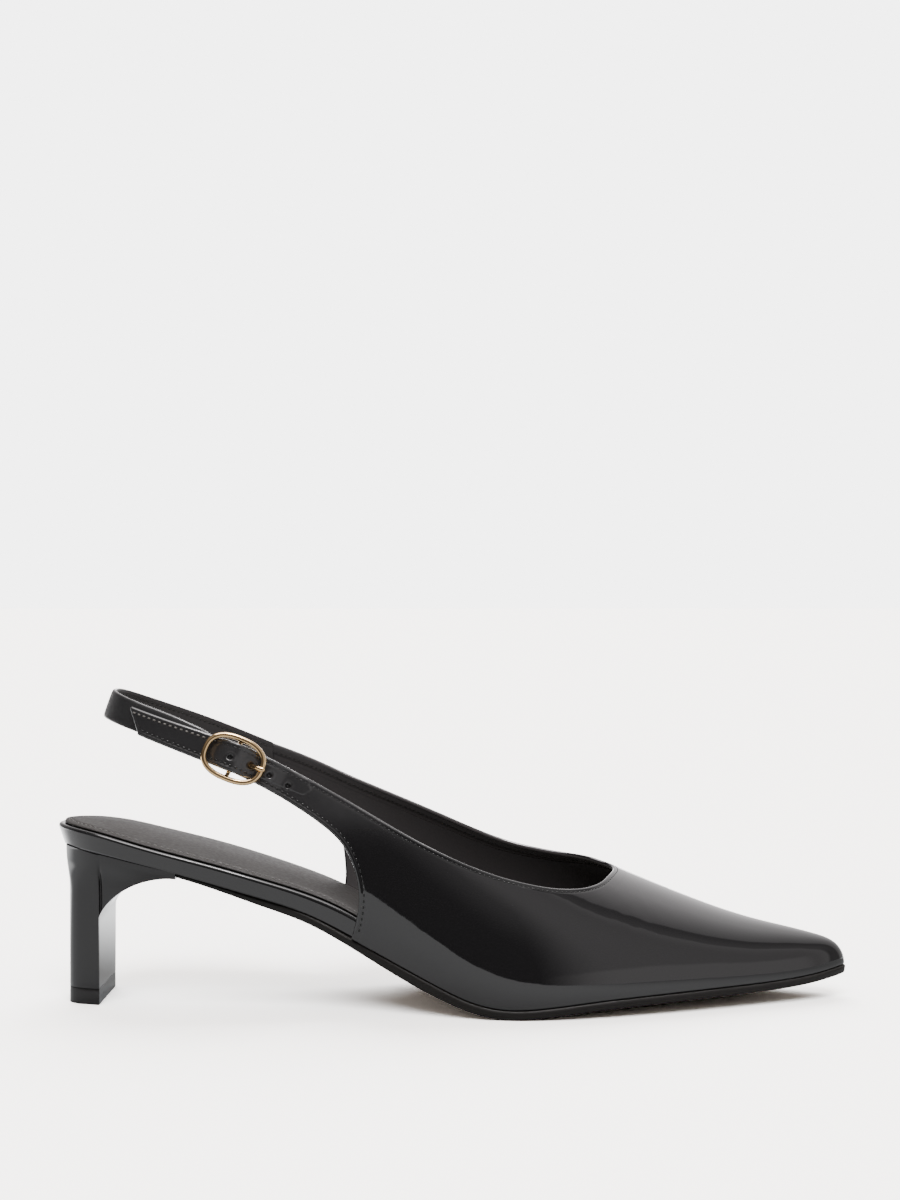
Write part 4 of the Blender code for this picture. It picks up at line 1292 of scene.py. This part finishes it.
def build_outsole(rubber):
    """Sole: a trimmed upright edge and a tread that hangs to a flat spot at the ball."""
    angles = np.linspace(turn(SOLE_REAR_X), np.pi, 220)
    inset = profile(x_at(angles), "sole_inset")
    share = np.linspace(0, 1, 33)
    low = across_board(*edge_pairs(angles, inset + SOLE_BEVEL), share)
    hang = profile(low[..., 0], "tread_drop") * 4 * share * (1 - share)
    edge = profile(low[..., 0], "base") - sole_depth(low[..., 0])
    tread = lifted(low, np.maximum(edge - hang, 0.0))
    steps = np.linspace(0, 1, 15)[1:-1]
    trims = SOLE_BEVEL * (1 - steps) ** 2 + SOLE_TOP_ROUND * np.clip((steps - 0.6) / 0.4, 0, 1) ** 2
    pairs = [edge_pairs(angles, inset + trim) for trim in trims]

    def upright(side):
        """Rows of the upright edge on one side, from the tread up."""
        plan = np.stack([pair[side] for pair in pairs], 1)
        return lifted(plan, profile(plan[..., 0], "base") - sole_depth(plan[..., 0]) * (1 - steps))

    top = across_board(*edge_pairs(angles, inset + SOLE_TOP_ROUND), share[::-4])
    top = lifted(top, profile(top[..., 0], "base"))
    rings = np.concatenate([tread, upright(1), top, upright(0)[:, ::-1]], 1)
    stand_for(add_piece("outsole_rubber", capped(rings), [rubber]), "outsole")


# Heel
def seat_half(x):
    """Half width of the heel seat at x, a rounded oval."""
    reach = np.clip((x - HEEL_SEAT_BACK_X) / (HEEL_SEAT_FRONT_X - HEEL_SEAT_BACK_X), 0, 1)
    return HEEL_SEAT_HALF * (1 - (1 - reach) ** HEEL_SEAT_POWER) ** (1 / HEEL_SEAT_POWER)


def band_flare(angles, inset):
    """How far the band's bottom edge is set in, most behind the heel."""
    return np.clip(BAND_FLARE - 0.9 * inset, 0.0, None) * (0.2 + 0.8 * bump(angles / 0.4))


def heel_ring(level):
    """Outline of the heel at a share of its height.

    A slab with rounded back corners, and above the arch a wing on each side
    that runs forward under the seat, set in a little behind the slab's edge.
    Near the top both are held in under the band.
    """
    flare = smooth((level - FLARE_LEVEL) / (1 - FLARE_LEVEL)) ** ARCH_POWER
    back = HEEL_BACK_X + (HEEL_SEAT_BACK_X - HEEL_BACK_X) * flare
    half = HEEL_WIDTH / 2 + HEEL_SPREAD * level
    low, high = ARCH_LEVELS
    arch = np.clip((level - low) / (high - low), 0, 1)
    undercut = (1 - arch ** ARCH_POWER) ** (1 / ARCH_POWER)
    front = HEEL_SEAT_FRONT_X - (HEEL_SEAT_FRONT_X - HEEL_BREAST_X) * undercut
    power = HEEL_SLAB_POWER + (HEEL_FLARE_POWER - HEEL_SLAB_POWER) * flare
    seat_corner = seat_half(HEEL_BREAST_X)
    corner = half + (seat_corner - half) * flare
    run = np.cos(np.linspace(0, 1.3, 37)) ** (2 / power)
    run = np.concatenate([run, run[-1] * np.linspace(1, 0, 25)[1:] ** 1.5])
    x = HEEL_BREAST_X - (HEEL_BREAST_X - back) * run
    y = corner * (1 - run ** power) ** (1 / power) * (1 - HEEL_TAPER * (1 - flare) * run)
    wing_x = HEEL_BREAST_X + (front - HEEL_BREAST_X) * np.linspace(0, 1, 41)[1:] ** 1.7
    widening = WING_START + (1 - WING_START) * flare
    past = wing_x - HEEL_BREAST_X
    behind = WING_SET_IN * smooth(past / 0.8) * bump(past / WING_SET_IN_REACH)
    wing_y = corner + (seat_half(wing_x) - seat_corner) * widening - behind * (1 - 0.6 * flare)
    side = np.concatenate([np.stack([x, y], -1), np.stack([wing_x, wing_y], -1)])
    groove = GROOVE_DEPTH * smooth((level - low + 0.02) / 0.1) * smooth((GROOVE_TOP - level) / 0.25)
    side[:, 1] -= groove * near(side[:, 0], HEEL_BREAST_X + GROOVE_AHEAD, GROOVE_WIDTH)
    breast = np.stack([np.full(15, front), wing_y[-1] * np.linspace(-1, 1, 17)[1:-1]], -1)
    ring = np.concatenate([side * (1, -1), breast, side[:0:-1]])
    room = np.where(ring[:, 1] < 0, -outline(ring[:, 0], -1), outline(ring[:, 0], 1))
    room = room - band_flare(turn(ring[:, 0]), 0.0) - GAP
    held = -np.log(np.exp(-2 * np.abs(ring[:, 1])) + np.exp(-2 * np.maximum(room, 0.3))) / 2
    held = np.clip(held, 0, None) * np.sign(ring[:, 1])
    ring[:, 1] += (held - ring[:, 1]) * smooth((level - 0.6) / 0.3)
    return ring


def build_heel(patent, rubber):
    """Heel under its cover and its tip in rubber, ring on ring, with softened edges."""
    low, high = ARCH_LEVELS
    rise = low + (high - low) * np.sin(np.linspace(0, np.pi / 2, 60))
    levels = np.concatenate([np.linspace(0, low, 14)[:-1], rise, [0.98, 1.0]])
    foot = HEEL_TIP_HEIGHT + GAP / 2
    rings = []
    for level in levels:
        ring = heel_ring(level)
        seat = profile(ring[:, 0], "base") + GAP
        rings.append(lifted(ring, foot + level * (seat - foot)))
    rings = np.array(rings)
    heel = stand_for(add_piece("heel_patent", capped(rings), [patent]), "heel")
    ring = heel_ring(0.0)
    rings = np.array([lifted(ring, height) for height in (0.0, HEEL_TIP_HEIGHT / 2, HEEL_TIP_HEIGHT)])
    tip = stand_for(add_piece("heel_tip_rubber", capped(rings), [rubber]), "heel_tip")
    for thing in (heel, tip):
        edge = thing.modifiers.new("soft edges", "BEVEL")
        edge.width = HEEL_EDGE_ROUND * MM
        edge.segments = 3
        edge.limit_method = "ANGLE"
        edge.angle_limit = np.radians(40)
        edge.harden_normals = False


# Buckle
def build_buckle(gold):
    """Oval wire frame with its centre bar, and the bent wire prong."""
    along, across, out, place = BUCKLE
    angle = np.arange(160) * 2 * np.pi / 160
    power = 2 / FRAME_POWER
    run = (FRAME_LENGTH - FRAME_WIRE) / 2 * rounded(np.cos(angle), power)
    rise = (FRAME_WIDTH - FRAME_WIRE) / 2 * rounded(np.sin(angle), power)
    ring = place + run[:, None] * along + rise[:, None] * across + FRAME_OUT * out
    patches = tube(ring, FRAME_WIRE / 2, 24, out, loop=True)
    patches += tube(refine(buckle_points(BAR, "across", "out"), 60), BAR_WIRE / 2, 16, along)
    stand_for(add_piece("buckle_frame_gold", patches, [gold]), "buckle_frame")
    path = refine(buckle_points(PRONG, "along", "out"), 120)
    left = np.clip((arc(path)[-1] - arc(path)) / (PRONG_WIRE / 2), 0.02, 1)
    radius = PRONG_WIRE / 2 * np.sqrt(1 - (1 - left) ** 2)
    patches = tube(path, radius, 16, across)
    stand_for(add_piece("buckle_prong_gold", patches, [gold]), "buckle_prong")


# Studio
CAMERA_PLACE = (-0.67, -650.0, 131.8)
LENS = 58.5
SENSOR = 36.0
FLOOR_FRONT_Y = -290.0
FLOOR_REACH = 30000.0
PAPER_SEEN = 5.2
LAMP_DIRECTION = (0.0, -0.05, 0.999)
CORE_DIRECTION = (0.15, -0.03, 0.988)
FLOOR_SEEN = (1.6, 1.53, 1.47, 1.0)
SUN_COLOUR = (0.96, 1.0, 1.04)
FILL_COLOUR = (1.1, 1.0, 0.9)
DOME_COLOUR = (1.0, 0.965, 0.97, 1.0)
FRONT_LIGHT = {"energy": 5.4, "tilt": 36, "spread": 40, "colour": SUN_COLOUR}
BACK_LIGHT = {"energy": 5.4, "tilt": -42, "spread": 50, "colour": SUN_COLOUR}
FILL_LIGHT = {"energy": 2.7, "tilt": 0, "spread": 160, "colour": FILL_COLOUR}

# Painted reflection tones of the floor: from one place to another in metres, and its values there. It is
# grey in front of and under the shoe, near white behind it and dimmer beyond the toe
FLOOR_DEPTH = (0.05, 0.2, 0.235, 0.85)
FLOOR_TOE = (0.08, 0.25, 1.0, 0.6)

# Brightness of the surroundings: from one place to another, and its values there. The
# place is the angle from straight behind, in radians, or else the share of a direction.
RIGHT_DIMS = (0.7, 1.52, 1.08, 0.48, "LINEAR")
RIGHT_STEP = (1.5, 1.56, 1.0, 0.36)
RIGHT_END = (1.7, 2.05, 1.0, 0.0)
LEFT_RISE = (-1.6, -0.4, 0.0, 0.3)
LEFT_PAPER = (-0.5, 0.0, 0.0, 0.7)
SHELF_SLOPE = 0.4
SHELF_EDGE = (1.2, 1.26, 0.18, 0.0)
SHELF_SIDE = (1.95, 2.1, 0.0, 1.0)
PANEL_EDGE = (1.79, 1.86, 0.0, 0.43)
PANEL_RISE = (1.9, 2.4, 0.0, 0.07)
PANEL_END = (2.5, 3.1, 1.0, 0.0)
ROOM_TOP = (0.3, 0.8, 0.04, 0.3)
ROOM_SIDE = (-0.3, 0.0, 1.0, 0.0)
PAPER_GLOW = (0.965, 0.999, 0.05, 3.5)
LAMP_GLOW = (0.9, 0.925, 0.0, 6.0)
CORE_GLOW = (0.988, 0.995, 0.0, 40.0)


def build_floor():
    """Pale floor that ends a little in front of the shoe.

    The camera's own rays see it as bright as the paper behind. Other rays see it matt, with painted
    reflection tones: grey in front of and under the shoe, near white behind it, dimmer beyond the toe.
    """
    corners = [(-FLOOR_REACH, FLOOR_FRONT_Y), (FLOOR_REACH, FLOOR_FRONT_Y)]
    corners += [(FLOOR_REACH, FLOOR_REACH), (-FLOOR_REACH, FLOOR_REACH)]
    mesh = bpy.data.meshes.new("floor")
    mesh.from_pydata([(x * MM, (y + AXIS_Y) * MM, 0.0) for x, y in corners], [], [(0, 1, 2, 3)])
    made = bpy.data.materials.new("matt floor with painted reflection tones")
    made.use_nodes = True
    tree = made.node_tree
    tree.nodes.clear()
    place = node(tree, "ShaderNodeTexCoord").outputs["Object"]
    axes = node(tree, "ShaderNodeSeparateXYZ", {"Vector": place}).outputs
    # Painted reflection tones: grey near the shoe, whiter behind it, dimmer beyond the toe.
    depth = ramp(tree, axes["Y"], *FLOOR_DEPTH)
    toe = ramp(tree, axes["X"], *FLOOR_TOE)
    matt = node(tree, "ShaderNodeBsdfDiffuse", {"Color": combine(tree, "MULTIPLY", depth, toe)})
    bright = node(tree, "ShaderNodeBsdfDiffuse", in_Color=FLOOR_SEEN)
    ray = node(tree, "ShaderNodeLightPath").outputs["Is Camera Ray"]
    seen = node(tree, "ShaderNodeMixShader", {0: ray, 1: matt.outputs[0], 2: bright.outputs[0]})
    node(tree, "ShaderNodeOutputMaterial", {"Surface": seen.outputs[0]})
    mesh.materials.append(made)
    floor = bpy.data.objects.new("floor", mesh)
    bpy.context.scene.collection.objects.link(floor)


def build_world():
    """Surroundings by direction: bright paper behind that dims to the right, a pale
    panel on the right in front, a dark room behind the camera and a lamp overhead.

    They show in gloss alone. The camera sees plain paper.
    """
    world = bpy.data.worlds.new("studio")
    bpy.context.scene.world = world
    world.use_nodes = True
    tree = world.node_tree
    tree.nodes.clear()
    place = node(tree, "ShaderNodeTexCoord").outputs["Generated"]
    axes = node(tree, "ShaderNodeSeparateXYZ", {"Vector": place}).outputs

    def glow(direction, limits):
        """Round glow about a direction."""
        toward = node(tree, "ShaderNodeVectorMath", {0: place, 1: direction}, operation="DOT_PRODUCT")
        return ramp(tree, toward.outputs["Value"], *limits)

    angle = combine(tree, "ARCTAN2", axes["X"], axes["Y"])
    right = [ramp(tree, angle, *limits) for limits in (RIGHT_DIMS, RIGHT_STEP, RIGHT_END)]
    left = [ramp(tree, angle, *limits) for limits in (LEFT_RISE, LEFT_PAPER)]
    back = combine(tree, "MULTIPLY", combine(tree, "MULTIPLY", *right), combine(tree, "ADD", *left))
    shelf = ramp(tree, multiply_add(tree, angle, SHELF_SLOPE, axes["Z"]), *SHELF_EDGE)
    shelf = combine(tree, "MULTIPLY", shelf, ramp(tree, angle, *SHELF_SIDE))
    panel = [ramp(tree, angle, *limits) for limits in (PANEL_EDGE, PANEL_RISE)]
    panel = combine(tree, "MULTIPLY", combine(tree, "ADD", *panel, shelf), ramp(tree, angle, *PANEL_END))
    room = combine(tree, "MULTIPLY", ramp(tree, axes["Z"], *ROOM_TOP), ramp(tree, axes["Y"], *ROOM_SIDE))
    paper = ramp(tree, axes["Y"], *PAPER_GLOW)
    lamp = glow(LAMP_DIRECTION, LAMP_GLOW)
    core = glow(CORE_DIRECTION, CORE_GLOW)
    light = combine(tree, "ADD", back, combine(tree, "MAXIMUM", panel, room), paper, lamp, core)
    ray = node(tree, "ShaderNodeLightPath").outputs["Is Camera Ray"]
    dome = node(tree, "ShaderNodeBackground", {"Strength": light}, in_Color=DOME_COLOUR)
    plain = node(tree, "ShaderNodeBackground", in_Color=(1, 1, 1, 1), in_Strength=PAPER_SEEN)
    seen = node(tree, "ShaderNodeMixShader", {0: ray, 1: dome.outputs[0], 2: plain.outputs[0]})
    node(tree, "ShaderNodeOutputWorld", {"Surface": seen.outputs[0]})
    world.cycles_visibility.diffuse = False


def build_light(name, energy, tilt, spread, colour):
    """Wide soft light tilted from overhead, for the shadows alone: it shows in no gloss."""
    lamp = bpy.data.lights.new(name, "SUN")
    lamp.energy = energy
    lamp.angle = np.radians(spread)
    lamp.color = colour
    thing = bpy.data.objects.new(name, lamp)
    bpy.context.scene.collection.objects.link(thing)
    thing.rotation_euler = (np.radians(tilt), 0, 0)
    thing.visible_glossy = False


def build_camera():
    """Level camera at the photograph's place."""
    lens = bpy.data.cameras.new("camera")
    lens.lens = LENS
    lens.sensor_width = SENSOR
    thing = bpy.data.objects.new("camera", lens)
    bpy.context.scene.collection.objects.link(thing)
    x, y, z = CAMERA_PLACE
    thing.location = (x * MM, (y + AXIS_Y) * MM, z * MM)
    thing.rotation_euler = (np.pi / 2, 0, 0)
    bpy.context.scene.camera = thing


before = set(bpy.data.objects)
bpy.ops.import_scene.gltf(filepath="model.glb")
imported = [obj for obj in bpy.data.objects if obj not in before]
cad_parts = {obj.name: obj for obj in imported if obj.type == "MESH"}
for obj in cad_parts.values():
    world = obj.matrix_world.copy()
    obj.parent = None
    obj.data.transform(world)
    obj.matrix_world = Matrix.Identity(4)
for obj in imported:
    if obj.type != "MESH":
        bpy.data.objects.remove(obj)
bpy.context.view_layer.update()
build_camera()
build_floor()
build_world()
build_light("front light", **FRONT_LIGHT)
build_light("back light", **BACK_LIGHT)
build_light("fill light", **FILL_LIGHT)

patent = patent_leather()
lining = satin_lining()
thread = sewing_thread("black thread", "#161616")
sole = sole_rubber()
# The tail's lighter thread colour is a painted highlight.
build_upper(patent, lining, thread, sewing_thread("thread with painted highlight", "#55514e"))
build_sling(patent, lining, thread)
build_footbed(patent)
# The sole rubber also serves as painted shade on the sock's cut edge.
build_sock(sock_leather(), sole, sewing_thread("grey thread", "#403d3b"))
build_outsole(sole)
build_heel(lacquered_heel(), tip_rubber())
build_buckle(gold_plate())
